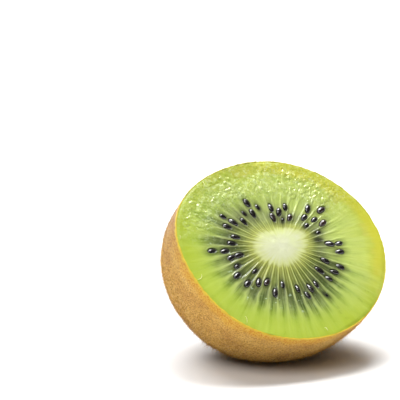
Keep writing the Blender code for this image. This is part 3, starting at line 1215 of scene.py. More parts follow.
@dataclass(frozen=True)
class HairFinish:
    """Golden brown hair, different from hair to hair and more orange below the cut."""

    name: str
    zones: Tree
    stops: tuple = ((0.0, (148, 103, 40)), (0.45, (210, 164, 72)), (1.0, (242, 208, 122)))
    mottling: Mottling = Mottling(
        # dark is the colour of the painted shade on top and at the stem end
        warm=Tint((222, 180, 54), 0.75), dark=Tint((124, 84, 46), 0.65), cells=2400.0,
        speck=Tint((134, 90, 44), 0.62), warm_speck=(192, 92, 16), speck_full=0.6,
        pale=Tint((232, 198, 122), 0.42), warm_pale=(250, 224, 104), pale_full=0.38,
    )

    def build(self) -> Material:
        """Make the material.

        Returns:
            The material.
        """
        material, sheet, shader = new_material(self.name)
        tone = sheet.add("ShaderNodeAttribute", attribute_name="tone")
        color = sheet.ramp(tone.outputs["Fac"], self.stops)
        color = self.mottling.lay(sheet, self.zones, sheet.place(), color)
        sheet.fill(shader, Base_Color=color, Roughness=0.6, Specular_IOR_Level=0.15)
        return material


@dataclass(frozen=True)
class DryWood:
    """Dry woody finish of the stem end."""

    name: str = "dry_wood"
    stops: tuple = ((0.3, (66, 44, 26)), (0.55, (120, 86, 50)), (0.75, (176, 138, 88)))
    bump: float = 0.3 * MM

    def build(self) -> Material:
        """Make the material.

        Returns:
            The material.
        """
        material, sheet, shader = new_material(self.name)
        fine = sheet.noise(sheet.place(), 1500.0, 4.0, 0.65)
        sheet.fill(
            shader, Base_Color=sheet.ramp(fine, self.stops), Normal=sheet.bump(fine, 0.8, self.bump),
            Roughness=0.85, Specular_IOR_Level=0.2,
        )
        return material


@dataclass(frozen=True)
class PaleFibre:
    """Moist pale yellow fibre."""

    name: str = "pale_fibre"

    def build(self) -> Material:
        """Make the material.

        Returns:
            The material.
        """
        material, sheet, shader = new_material(self.name)
        clouds = sheet.noise(sheet.place(), 700.0, 1.0)
        color = sheet.mix(clouds, srgb(226, 216, 130), srgb(232, 238, 180))
        sheet.fill(shader, Base_Color=color, Roughness=0.3, Coat_Weight=0.4, Coat_Roughness=0.1)
        return material


@dataclass
class Pips:
    """Ring of seeds in the locules: those of the solid, and some more that lie deeper."""

    form: HalfForm
    seed: int = 89463
    ring: float = 0.30
    ring_swing: float = 0.06
    ring_turn: float = math.radians(240.0)
    counts: tuple = (0, 1, 1, 1, 2)
    inner_spread: tuple = (-0.12, 0.11)
    outer_step: tuple = (0.12, 0.20)
    turn_spread: float = 0.03
    twist: float = 0.25
    clearance: float = 2.0 * MM
    sizes: tuple = (0.84, 1.1)
    length: float = 2.4 * MM
    width: float = 1.35 * MM
    thickness: float = 1.15 * MM
    height: float = -0.36 * MM
    height_spread: float = 0.17 * MM
    sunk_seed: int = 12
    sunk_chance: float = 0.75
    sunk_spread: tuple = (-0.15, 0.16)
    sunk_clearance: float = 1.75 * MM
    sunk_height: float = -0.58 * MM
    sides: int = 18
    rings: int = 12
    unevenness: float = 0.09 * MM
    dents: tuple = ((1.1 * MM, 1.0), (0.45 * MM, 0.4))
    roll: tuple = (-0.35, 0.35)
    pitch: tuple = (-0.22, 0.16)
    fullness: float = 0.9
    bluntness: float = 0.22
    ridge: float = 0.04
    spots: list = field(init=False, default_factory=list)
    places: list = field(init=False, default_factory=list)
    sunk: list = field(init=False, default_factory=list)
    angles: Array = field(init=False)
    scales: Array = field(init=False)

    def __post_init__(self) -> None:
        """Work out where each pip lies."""
        rng = random.Random(self.seed)
        for locule in range(self.form.locules):
            middle = self.middle(locule)
            inner = self.ring_share(middle) + rng.uniform(*self.inner_spread)
            outer = inner + rng.uniform(*self.outer_step)
            count = rng.choice(self.counts)
            for share in (inner, outer)[:count]:
                turn = middle + rng.uniform(-self.turn_spread, self.turn_spread)
                self.offer(turn, share, self.clearance, False)
        solid = len(self.spots)
        rng = random.Random(self.sunk_seed)
        for locule in range(self.form.locules):
            middle = self.middle(locule)
            share = self.ring_share(middle) + rng.uniform(*self.sunk_spread)
            turn = middle + rng.uniform(-self.turn_spread, self.turn_spread)
            if rng.random() < self.sunk_chance:
                self.offer(turn, share, self.sunk_clearance, True)
        LOG.info("%d pips of the solid and %d deeper ones", solid, len(self.spots) - solid)
        turns = np.array([turn for turn, _ in self.spots])
        spokes = self.form.rim(turns) - self.form.core_edge(turns)
        rng = random.Random(self.seed + 1)
        angles, scales = [], []
        for spoke in spokes:
            angles.append(math.atan2(spoke[1], spoke[0]) + rng.uniform(-self.twist, self.twist))
            scales.append(rng.uniform(*self.sizes))
        self.angles, self.scales = np.array(angles), np.array(scales)

    def middle(self, locule: int) -> float:
        """Turn in the middle of a locule."""
        return float(self.form.turn_of((locule + 0.5) / self.form.locules))

    def ring_share(self, turn: float) -> float:
        """Share at which the ring of pips lies there."""
        return self.ring + self.ring_swing * math.cos(turn - self.ring_turn)

    def offer(self, turn: float, share: float, clearance: float, sunk: bool) -> None:
        """Keep a pip if it has room.

        Args:
            turn: Turn of its place.
            share: Share of the way from core to rim.
            clearance: Distance that it needs to the middle of every other pip.
            sunk: Whether it lies deeper than the others.
        """
        place = self.form.face(np.array([turn]), np.array([share]))[0]
        if all(np.linalg.norm(place - other) > clearance for other in self.places):
            self.spots.append((turn, share))
            self.places.append(place)
            self.sunk.append(sunk)

    def distance(self, flat: Array, sunk: bool) -> Array:
        """How far points of the cut are from the nearest pip, in halves of its own outline.

        Args:
            flat: X and Y of each point.
            sunk: Whether the deeper pips are meant or the others.

        Returns:
            One distance for each point, 1 on the outline of a pip.
        """
        nearest = np.full(len(flat), 99.0)
        for place, angle, scale, deeper in zip(self.places, self.angles, self.scales, self.sunk):
            if deeper != sunk:
                continue
            offset = flat - place
            along = offset[:, 0] * math.cos(angle) + offset[:, 1] * math.sin(angle)
            across = -offset[:, 0] * math.sin(angle) + offset[:, 1] * math.cos(angle)
            reach = np.hypot(along / (0.5 * self.length * scale), across / (0.5 * self.width * scale))
            nearest = np.minimum(nearest, reach)
        return nearest

    def seed_mesh(self, material: Material) -> Object:
        """One seed with a pointed end and a blunt one, at its true size.

        Args:
            material: Its material.

        Returns:
            The seed, lying along X.
        """
        shell = RingMesh()
        turn = TAU * np.arange(self.sides) / self.sides
        ridges = 1.0 + self.ridge * np.cos(3 * turn)
        end = 0.5 * self.length
        for step in range(1, self.rings):
            angle = math.pi * step / self.rings
            along = -math.cos(angle)
            radius = math.sin(angle) ** self.fullness * (1.0 + self.bluntness * along)
            points = np.stack([
                np.full(self.sides, end * along),
                0.5 * self.width * radius * np.cos(turn) * ridges,
                0.5 * self.thickness * radius * np.sin(turn) * ridges,
            ], 1)
            shell.grow(points, step / self.rings, np.array([-end, 0.0, 0.0]))
        shell.cap(shell.last, np.array([end, 0.0, 0.0]), 1.0)
        return shell.finish("seed_shape", material)

    def build(self, placement: Placement, material: Material) -> Object:
        """Lay a seed at each place with a Geometry Nodes tree.

        Args:
            placement: How the half lies.
            material: The seeds' material.

        Returns:
            One mesh of all the pips.
        """
        shares = np.array([share for _, share in self.spots])
        height = self.form.flesh_swell * smooth_step(0.4, 0.75, shares)
        height += np.where(self.sunk, self.sunk_height, self.height)
        own = random.Random(self.seed + 3)
        height += np.array([own.uniform(-1.0, 1.0) for _ in self.spots]) * self.height_spread
        points = placement.to_world(np.column_stack([np.array(self.places), height]))
        carrier = bpy.data.meshes.new("pip_places")
        carrier.from_pydata(points.tolist(), [], [])
        turned = placement.matrix.to_3x3()
        rng = random.Random(self.seed + 2)
        aims = []
        for angle in self.angles:
            rolled = Matrix.Rotation(angle, 3, "Z") @ Matrix.Rotation(rng.uniform(*self.roll), 3, "X")
            rolled = rolled @ Matrix.Rotation(rng.uniform(*self.pitch), 3, "Y")
            aims.extend((turned @ rolled).to_euler())
        layer = carrier.attributes.new("aim", "FLOAT_VECTOR", "POINT")
        layer.data.foreach_set("vector", np.array(aims, np.float32))
        store(carrier, "size", self.scales)
        store(carrier, "tone", np.array([rng.random() for _ in self.angles]))
        host = new_object("kiwi_pips", carrier)
        shape = self.seed_mesh(material)
        laid = Scatter.on_points(shape, material).apply(host)
        bpy.data.objects.remove(shape)
        self.dent(laid.data)
        return hand_over(laid, Slot.PIPS)

    def dent(self, mesh: bpy.types.Mesh) -> None:
        """Make each pip a little uneven in its own way.

        Args:
            mesh: The mesh of all the pips.
        """
        places, normals = np.empty(3 * len(mesh.vertices)), np.empty(3 * len(mesh.vertices))
        mesh.vertices.foreach_get("co", places)
        mesh.vertices.foreach_get("normal", normals)
        places, normals = places.reshape(-1, 3), normals.reshape(-1, 3)
        depth = sum(share * soft_noise(places / size, Noise.PIPS) for size, share in self.dents)
        depth *= self.unevenness
        mesh.vertices.foreach_set("co", (places + normals * depth[:, None]).ravel())
        mesh.update()


@dataclass
class Scatter:
    """Geometry Nodes tree that lays copies of a shape, and turns the result into a plain mesh."""

    tree: Tree
    values: dict = field(default_factory=dict)

    @staticmethod
    def end(sheet: Sheet, entry: Node, leave: Node, laid: Socket) -> None:
        """End a tree: make the copies real and give them their material.

        Args:
            sheet: The tree's sheet.
            entry: Its input node, with a socket for the finish.
            leave: Its output node.
            laid: The copies.
        """
        real = sheet.add("GeometryNodeRealizeInstances", {"Geometry": laid})
        dressed = sheet.add("GeometryNodeSetMaterial", {
            "Geometry": real.outputs["Geometry"], "Material": entry.outputs["Finish"],
        })
        sheet.fill(leave, Geometry=dressed.outputs["Geometry"])

    @classmethod
    def on_points(cls, shape: Object, material: Material) -> "Scatter":
        """Tree that lays a shape on each point, turned and sized as the point says.

        Args:
            shape: What is laid.
            material: Its material.

        Returns:
            The tree with its values.
        """
        inputs = (("Geometry", "Geometry"), ("Shape", "Object"), ("Finish", "Material"))
        tree, sheet, entry, leave = new_group("lay_on_points", inputs, inputs[:1], "Geometry")
        info = sheet.add("GeometryNodeObjectInfo", {"Object": entry.outputs["Shape"]})
        points = sheet.add("GeometryNodeMeshToPoints", {"Mesh": entry.outputs["Geometry"]})
        turned = sheet.add("FunctionNodeEulerToRotation", {0: sheet.attribute("aim", "FLOAT_VECTOR")})
        laid = sheet.add("GeometryNodeInstanceOnPoints", {
            "Points": points.outputs["Points"], "Instance": info.outputs["Geometry"],
            "Rotation": turned.outputs[0], "Scale": sheet.attribute("size"),
        })
        cls.end(sheet, entry, leave, laid.outputs["Instances"])
        return cls(tree, {"Shape": shape, "Finish": material})

    @classmethod
    def on_faces(cls, shapes: bpy.types.Collection, material: Material, **values: float) -> "Scatter":
        """Tree that strews shapes over a surface, leaning every way.

        Args:
            shapes: Collection of shapes that stand along Z.
            material: Their material.
            values: Density, Smallest, Largest, Lean, Lean_Spread and Seed.

        Returns:
            The tree with its values.
        """
        inputs = (
            ("Geometry", "Geometry"), ("Shapes", "Collection"), ("Finish", "Material"),
            ("Density", "Float"), ("Smallest", "Float"), ("Largest", "Float"), ("Lean", "Float"),
            ("Lean Spread", "Float"), ("Seed", "Int"),
        )
        tree, sheet, entry, leave = new_group("strew_on_faces", inputs, inputs[:1], "Geometry")
        seed = entry.outputs["Seed"]

        def draw(low: object, high: object, shift: int) -> Socket:
            """Random number from low to high for each copy, with a seed shifted for each draw."""
            feeds = {2: low, 3: high, "Seed": sheet.plus(seed, float(shift))}
            return sheet.add("FunctionNodeRandomValue", feeds, data_type="FLOAT").outputs[1]

        def rotate(copies: Node, axis: int, angle: Socket) -> Node:
            """Turn each copy of a node around one of its own axes, numbered from 0 to 2."""
            spin = sheet.add("ShaderNodeCombineXYZ", {axis: angle})
            return sheet.add("GeometryNodeRotateInstances", {
                "Instances": copies.outputs["Instances"], "Rotation": spin.outputs[0], "Local Space": True,
            })

        density = sheet.times(entry.outputs["Density"], sheet.attribute("room"))
        cloud = sheet.add("GeometryNodeDistributePointsOnFaces", {
            "Mesh": entry.outputs["Geometry"], "Density": density, "Seed": seed,
        }, distribute_method="RANDOM")
        info = sheet.add("GeometryNodeCollectionInfo", {
            "Collection": entry.outputs["Shapes"], "Separate Children": True, "Reset Children": True,
        })
        size = draw(entry.outputs["Smallest"], entry.outputs["Largest"], 1)
        laid = sheet.add("GeometryNodeInstanceOnPoints", {
            "Points": cloud.outputs["Points"], "Instance": info.outputs[0], "Pick Instance": True,
            "Rotation": cloud.outputs["Rotation"], "Scale": sheet.times(size, sheet.attribute("reach")),
        })
        spun = rotate(laid, 2, draw(0.0, TAU, 2))
        least = sheet.minus(entry.outputs["Lean"], entry.outputs["Lean Spread"])
        most = sheet.plus(entry.outputs["Lean"], entry.outputs["Lean Spread"])
        leant = rotate(spun, 0, draw(least, most, 3))
        toned = sheet.add("GeometryNodeStoreNamedAttribute", {
            "Geometry": leant.outputs["Instances"], "Name": "tone", "Value": draw(0.0, 1.0, 4),
        }, data_type="FLOAT", domain="INSTANCE")
        cls.end(sheet, entry, leave, toned.outputs["Geometry"])
        named = {name.replace("_", " "): value for name, value in values.items()}
        return cls(tree, {"Shapes": shapes, "Finish": material, **named})

    def apply(self, host: Object) -> Object:
        """Run the tree on an object and keep the result as its mesh.

        Args:
            host: The object that carries the points or the surface.

        Returns:
            The same object.
        """
        modifier = host.modifiers.new("scatter", "NODES")
        modifier.node_group = self.tree
        for socket in self.tree.interface.items_tree:
            if socket.item_type == "SOCKET" and socket.in_out == "INPUT" and socket.name in self.values:
                modifier[socket.identifier] = self.values[socket.name]
        host.update_tag()
        seen = host.evaluated_get(bpy.context.evaluated_depsgraph_get())
        made = bpy.data.meshes.new_from_object(seen)
        host.modifiers.clear()
        host.data = made
        return host


@dataclass
class CutRelief:
    """Unevenness of the cut: sunken locules, fibres, juicy cells and the sockets of the pips."""

    form: HalfForm
    pips: Pips
    septum: float = 0.14
    locule_depth: float = 0.18 * MM
    locule_rise: tuple = (0.02, 0.14)
    locule_fall: tuple = (0.36, 0.62)
    cell_zone: tuple = (0.35, 0.6)
    rim_rounding: float = 1.6
    fibre_height: float = 0.02 * MM
    grain_height: float = 0.035 * MM
    cell_height: float = 0.23 * MM
    cells_around: int = 130
    cells_outward: float = 17.0
    cell_bend: float = 0.7
    swell_height: float = 0.1 * MM
    rough_turn: float = math.radians(102.0)
    socket_rise: float = 0.1 * MM
    socket_depth: float = 0.25 * MM

    def locules(self, around: Array, share: Array) -> Array:
        """Depths of the locules, whose walls run a little crooked.

        Args:
            around: Shares of the way around.
            share: Shares of the way from core to rim.

        Returns:
            One depth for each point.
        """
        spoke = np.column_stack([np.cos(TAU * around), np.sin(TAU * around)])
        wobble = soft_noise(np.column_stack([spoke * 5.0, share * 7.0]), Noise.SEPTA)
        count = around * self.form.locules + 0.12 * wobble * smooth_step(0.1, 0.5, share)
        fraction = count % 1.0
        groove = 1.0 - np.exp(-((np.minimum(fraction, 1.0 - fraction) / self.septum) ** 2))
        still = np.zeros_like(share, dtype=np.int64)
        number = np.floor(count).astype(np.int64) % self.form.locules
        own = cell_value(number, still, still, Noise.SEPTA.value)
        window = smooth_step(*self.locule_rise, share) * (1.0 - smooth_step(*self.locule_fall, share))
        return self.locule_depth * groove * window * (0.7 + 0.5 * own)

    def texture(self, around: Array, share: Array, flat: Array) -> Array:
        """Heights of fibres, grain and juicy cells.

        Args:
            around: Shares of the way around.
            share: Shares of the way from core to rim.
            flat: X and Y of the points.

        Returns:
            One height for each point.
        """
        deep = np.full(len(flat), 4.0)
        spot = np.column_stack([flat / MM, deep])
        spoke = np.column_stack([np.cos(TAU * around), np.sin(TAU * around)])
        fibres = soft_noise(np.column_stack([spoke * 62.0, share * 9.0]), Noise.FIBRES)
        grain = soft_noise(spot * (1.9, 1.9, 1.0), Noise.GRAIN)
        grain += 0.6 * soft_noise(spot * (3.7, 3.7, 1.0), Noise.GRAIN)
        broad = soft_noise(spot / (7.0, 7.0, 1.0), Noise.SWELL)
        patches = soft_noise(spot / (3.0, 3.0, 1.0), Noise.CELLS)
        bent = self.cell_bend * soft_noise(spot * (1.1, 1.1, 1.0), Noise.FIBRES)
        skewed = self.cell_bend * soft_noise(spot * (1.1, 1.1, 1.0), Noise.SEPTA)
        cells = cell_domes(
            around * self.cells_around + bent, share * self.cells_outward + skewed,
            self.cells_around, Noise.CELLS,
        )
        rough = smooth_step(0.1, 0.7, np.cos(TAU * around - self.rough_turn))
        rough *= smooth_step(*self.cell_zone, share)
        juicy = rough * smooth_step(-0.6, 0.1, patches) * (1.0 - smooth_step(0.88, 0.97, share))
        relief = self.fibre_height * fibres * smooth_step(0.1, 0.4, share)
        relief += self.grain_height * grain * (0.1 + 0.9 * rough) + self.cell_height * cells * juicy
        relief += self.swell_height * broad * smooth_step(0.25, 0.5, share)
        return relief * smooth_step(0.0, 0.12, share) * (1.0 - smooth_step(0.95, 1.0, share))

    def height(self, around: Array, share: Array, flat: Array) -> Array:
        """Heights of points over the plane of the cut.

        Args:
            around: Shares of the way around.
            share: Shares of the way from core to rim.
            flat: X and Y of the points.

        Returns:
            One height for each point.
        """
        form = self.form
        swell = form.flesh_swell * smooth_step(0.4, 0.75, share)
        drop = form.rim_drop + form.flesh_swell
        rim = drop * smooth_step(form.rim_share, 1.0, share) ** self.rim_rounding
        near = self.pips.distance(flat, False)
        lip = self.socket_rise * np.exp(-(((near - 1.2) / 0.24) ** 2))
        hole = self.socket_depth * np.exp(-((near / 0.9) ** 4))
        return swell - rim - self.locules(around, share) + self.texture(around, share, flat) + (lip - hole)


@dataclass
class Flesh:
    """Green flesh: the cut with its relief, the sides under the skin and the pocket of the core."""

    form: HalfForm
    pips: Pips
    relief: CutRelief
    around: int = 960
    side_rings: int = 16
    ring_ends: tuple = (0.12, 0.5, 0.93, 1.0)
    ring_counts: tuple = (10, 36, 38, 12)
    floor: float = 0.3 * MM
    play: float = 0.01 * MM
    darkest: float = 0.92

    def shares(self) -> Array:
        """Shares of the rings on the cut, closer together at the rim.

        Returns:
            The shares, from the core's edge to the rim.
        """
        bounds = (0.0,) + self.ring_ends
        parts = [
            np.linspace(low, high, count, endpoint=False)
            for low, high, count in zip(bounds[:-2], bounds[1:-1], self.ring_counts)
        ]
        edge = np.sin(np.linspace(0.0, 0.5 * math.pi, self.ring_counts[-1]))
        return np.concatenate([*parts, bounds[-2] + (1.0 - bounds[-2]) * edge])

    def shade(self, flat: Array) -> Array:
        """How dark the flesh is around and over the pips, painted shade around them included.

        Args:
            flat: X and Y of points of the cut.

        Returns:
            One shade from 0 to 1 for each point.
        """
        near, veiled = self.pips.distance(flat, False), self.pips.distance(flat, True)
        # a dark rim close around each pip, and dark blobs over the deeper pips seen through the flesh
        shade = 0.8 * (1.0 - smooth_step(0.8, 1.3, near)) + 0.65 * (1.0 - smooth_step(0.3, 1.5, veiled))
        # painted shade: a wider halo around all the pips
        shade += 0.38 * (1.0 - smooth_step(1.0, 2.8, np.minimum(near, veiled)))
        return np.clip(shade, 0.0, self.darkest)

    def build(self, placement: Placement, material: Material) -> Object:
        """Make the flesh.

        Args:
            placement: How the half lies.
            material: Its material.

        Returns:
            The flesh, which stands for its solid.
        """
        form = self.form
        mesh = RingMesh()
        shades = []
        counts = [self.around // step for step in (1, 2, 4, 8)]
        around = {count: np.arange(count) / count for count in counts}
        turns = {count: form.turn_of(share) for count, share in around.items()}
        fine, half, quarter, coarse = counts
        lift = form.skin_thickness + self.play

        def add(points: Array, along: float, shade: Array | None = None) -> Ring:
            """Add a ring in the world, with the shade of the pips at each of its points."""
            shades.append(np.zeros(len(points)) if shade is None else shade)
            return mesh.grow(placement.above(points, self.floor), along)

        downs = np.sin(0.5 * math.pi * np.arange(self.side_rings - 1, 0, -1) / self.side_rings)
        pocket = []
        for down in downs:
            count = quarter if down == downs[-1] else coarse
            pocket.append(add(form.core_side(turns[count], down, self.play), -0.02 * down))
        for share in self.shares():
            count = half if share < self.ring_ends[0] else fine
            row = np.full(count, share)
            flat = form.face(turns[count], row)
            points = np.column_stack([flat, self.relief.height(around[count], row, flat)])
            add(points, share, self.shade(flat))
        for step in range(1, self.side_rings * 2):
            angle = 0.5 * math.pi * step / (self.side_rings * 2)
            count = {1: half, 2: quarter}.get(step, coarse)
            add(form.skin(turns[count], np.full(count, angle), lift), 1.0 + 0.02 * step)
        tip = form.skin(np.zeros(1), np.full(1, 0.5 * math.pi), lift)[0]
        mesh.cap(mesh.last, placement.point(*tip), 2.0)
        mesh.cap(pocket[0], placement.point(*form.core_centre, -form.core_depth - self.play), -0.03)
        shades.extend([np.zeros(1), np.zeros(1)])
        piece = mesh.finish("kiwi_flesh", material, 55.0)
        store(piece.data, "pip_shade", np.concatenate(shades))
        return hand_over(piece, Slot.FLESH, "flesh")


@dataclass
class Core:
    """Pale core, level with the flesh at its edge and slightly domed."""

    form: HalfForm
    around: int = 240
    top_rings: int = 22
    side_rings: int = 14
    overlap: float = 0.03 * MM
    play: float = 0.02 * MM
    relief: tuple = ((0.9, 0.05 * MM), (2.6, 0.02 * MM))
    map_start: float = -0.34

    def build(self, placement: Placement, material: Material) -> Object:
        """Make the core.

        Args:
            placement: How the half lies.
            material: Its material.

        Returns:
            The core, which stands for its solid.
        """
        form = self.form
        mesh = RingMesh()
        turns = form.turn_of(np.arange(self.around) / self.around)
        centre = np.array(form.core_centre)
        top = placement.point(*centre, form.core_dome)
        for step in range(1, self.top_rings + 1):
            share = step / self.top_rings
            flat = centre + (form.core_edge(turns, self.overlap) - centre) * share
            spot = np.concatenate([flat / MM, np.zeros((self.around, 1))], 1)
            relief = sum(size * soft_noise(spot * cells, Noise.CORE) for cells, size in self.relief)
            height = form.core_dome * (1.0 - share ** 2.0) + relief * (1.0 - smooth_step(0.85, 1.0, share))
            points = placement.to_world(np.column_stack([flat, height]))
            mesh.grow(points, self.map_start * (1.0 - share), top, self.map_start)
        for step in range(1, self.side_rings):
            down = math.sin(0.5 * math.pi * step / self.side_rings)
            mesh.grow(placement.to_world(form.core_side(turns, down, -self.play)), -0.02 * down)
        mesh.cap(mesh.last, placement.point(*centre, -form.core_depth), -0.03)
        piece = mesh.finish("kiwi_core", material, 55.0)
        store(piece.data, "pip_shade", np.zeros(len(piece.data.vertices)))
        return hand_over(piece, Slot.CORE, "core")


@dataclass
class Skin:
    """Thin brown skin on the outer side, with its cut edge and its fuzz."""

    form: HalfForm
    around: int = 360
    rings: int = 84
    lump: float = 0.16 * MM
    wrinkle: float = 0.06 * MM
    ragged: float = 0.16 * MM
    edge_reach: float = 0.4
    lump_size: float = 5.5
    wrinkle_size: float = 1.4
    inner_share: float = 0.8

    def outer_points(self, turns: Array, angle: float) -> Array:
        """Points of one ring on the skin's outer face, with its unevenness.

        Args:
            turns: Turns around the oval.
            angle: Angle down the side.

        Returns:
            Points in the cut's frame.
        """
        points = self.form.skin(turns, np.full(len(turns), angle))
        spot = points / MM
        bumps = self.lump * soft_noise(spot / self.lump_size, Noise.SKIN)
        bumps += self.wrinkle * soft_noise(spot / self.wrinkle_size, Noise.SKIN)
        settled = smooth_step(0.0, 0.12, np.full(len(turns), angle))
        outward = points - np.array([0.0, 0.0, -0.3 * self.form.depth])
        outward /= np.linalg.norm(outward, axis=1, keepdims=True)
        points = points + outward * (bumps * settled)[:, None]
        frayed = soft_noise(spot / 0.9, Noise.EDGE) + 0.5 * soft_noise(spot / 0.35, Noise.EDGE)
        points[:, 2] += self.ragged * frayed * (1.0 - settled)
        return points

    def build(self, placement: Placement, material: Material) -> Object:
        """Make the skin.

        Args:
            placement: How the half lies.
            material: Its material.

        Returns:
            The skin.
        """
        form = self.form
        mesh = RingMesh()
        turns = form.turn_of(np.arange(self.around) / self.around)
        first = math.asin(form.rim_drop / form.depth) * 0.9
        angles = first + (0.5 * math.pi - first) * (np.arange(self.rings) / self.rings) ** 1.15
        outer = [self.outer_points(turns, angle) for angle in angles]
        right = np.full(1, 0.5 * math.pi)
        pole = placement.point(*form.skin(np.zeros(1), right)[0])
        for angle, points in zip(angles[::-1], outer[::-1]):
            mesh.grow(placement.above(points, 0.0), angle, pole, 0.5 * math.pi)
        for angle, points in zip(angles, outer):
            inset = form.skin(turns, np.full(self.around, angle), form.skin_thickness)
            inset += (points - form.skin(turns, np.full(self.around, angle))) * self.inner_share
            mesh.grow(placement.above(inset, form.skin_thickness), angle)
        tip = form.skin(np.zeros(1), right, form.skin_thickness)[0]
        mesh.cap(mesh.last, placement.point(*tip), 0.5 * math.pi)
        return hand_over(mesh.finish("kiwi_skin", material, 50.0), Slot.SKIN)

    def carrier(self, placement: Placement, name: str, longest: float) -> Object:
        """Bare surface that hairs are strewn on, with the room and the reach that each has.

        Args:
            placement: How the half lies.
            name: Its name.
            longest: Length of the longest hair.

        Returns:
            The surface as an object.
        """
        mesh = RingMesh()
        turns = self.form.turn_of(np.arange(self.around // 3) / (self.around // 3))
        angles = np.linspace(0.02, 0.5 * math.pi * 0.985, self.rings // 2)
        for angle in angles:
            mesh.grow(placement.to_world(self.outer_points(turns, angle)), angle)
        points = np.concatenate(mesh.points)
        host = mesh.finish(name, None, 180.0)
        axis = np.array(placement.matrix.to_3x3() @ Vector((0.0, 0.0, -1.0)))
        pole = placement.point(0.0, 0.0, -self.form.depth)
        radius = np.linalg.norm(np.cross(points - pole, axis), axis=1)
        stem = smooth_step(self.form.stem_ring + 1.0 * MM, self.form.stem_ring + 2.5 * MM, radius)
        upper = np.tile(smooth_step(-0.2, 0.5, np.sin(turns)), len(angles))
        downward = np.repeat(angles, len(turns))
        bare = upper * (1.0 - smooth_step(0.04, 0.3, downward))
        room = smooth_step(0.2 * MM, 1.2 * MM, points[:, 2]) * (0.15 + 0.85 * stem)
        store(host.data, "room", room * (1.0 - 0.9 * bare))
        below = smooth_step(0.0, 0.5, downward)
        reach = np.clip((points[:, 2] - 0.1 * MM) / longest, 0.05, 1.0)
        store(host.data, "reach", reach * (self.edge_reach + (1.0 - self.edge_reach) * below))
        return host


@dataclass
class Hair:
    """Shapes of hairs of one kind, each a thin closed spike along Z."""

    name: str
    length: float
    thickness: float
    segments: int
    bend: float
    kinds: int
    seed: int

    def build(self, material: Material) -> bpy.types.Collection:
        """Make the shapes.

        Args:
            material: Their material.

        Returns:
            A collection of them, not linked to the scene.
        """
        rng = random.Random(self.seed)
        shapes = bpy.data.collections.new(self.name + "_shapes")
        sides = 3
        for kind in range(self.kinds):
            mesh = bpy.data.meshes.new(self.name)
            curl = self.bend * rng.uniform(0.4, 1.0)
            twist = rng.uniform(-1.0, 1.0) * self.bend
            points, faces = [], [tuple(reversed(range(sides)))]
            spine = Vector((0.0, 0.0, 0.0))
            lean, sway = 0.0, 0.0
            for step in range(self.segments):
                share = step / self.segments
                radius = 0.5 * self.thickness * (1.0 - 0.55 * share)
                for side in range(sides):
                    angle = TAU * side / sides
                    points.append(spine + Vector((math.cos(angle) * radius, math.sin(angle) * radius, 0.0)))
                lean += curl / self.segments
                sway += twist / self.segments
                pace = self.length / self.segments
                rise = math.cos(lean) * math.cos(sway) * pace
                spine = spine + Vector((math.sin(sway) * pace, math.sin(lean) * pace, rise))
            points.append(spine)
            for step in range(self.segments - 1):
                for side in range(sides):
                    low, high = step * sides, (step + 1) * sides
                    after = (side + 1) % sides
                    faces.append((low + side, low + after, high + after, high + side))
            last = (self.segments - 1) * sides
            for side in range(sides):
                faces.append((last + side, last + (side + 1) % sides, len(points) - 1))
            mesh.from_pydata([tuple(point) for point in points], [], faces)
            mesh.materials.append(material)
            shapes.objects.link(bpy.data.objects.new("%s_%d" % (self.name, kind), mesh))
        return shapes

    def strew(self, host: Object, material: Material, count: int, **values: float) -> Object:
        """Strew the hairs over a surface.

        Args:
            host: The surface, which becomes the hairs.
            material: Their material.
            count: About how many hairs there are.
            values: The tree's other values.

        Returns:
            One mesh of all the hairs.
        """
        shares = host.data.attributes["room"].data
        room = sum(
            face.area * sum(shares[index].value for index in face.vertices) / len(face.vertices)
            for face in host.data.polygons
        )
        shapes = self.build(material)
        laid = Scatter.on_faces(shapes, material, Density=count / room, **values).apply(host)
        for shape in list(shapes.objects):
            bpy.data.objects.remove(shape)
        bpy.data.collections.remove(shapes)
        lowest = min(point.co.z for point in laid.data.vertices)
        LOG.info("%s reaches down to %.2f mm", laid.name, lowest / MM)
        return hand_over(laid, Slot.FUZZ)


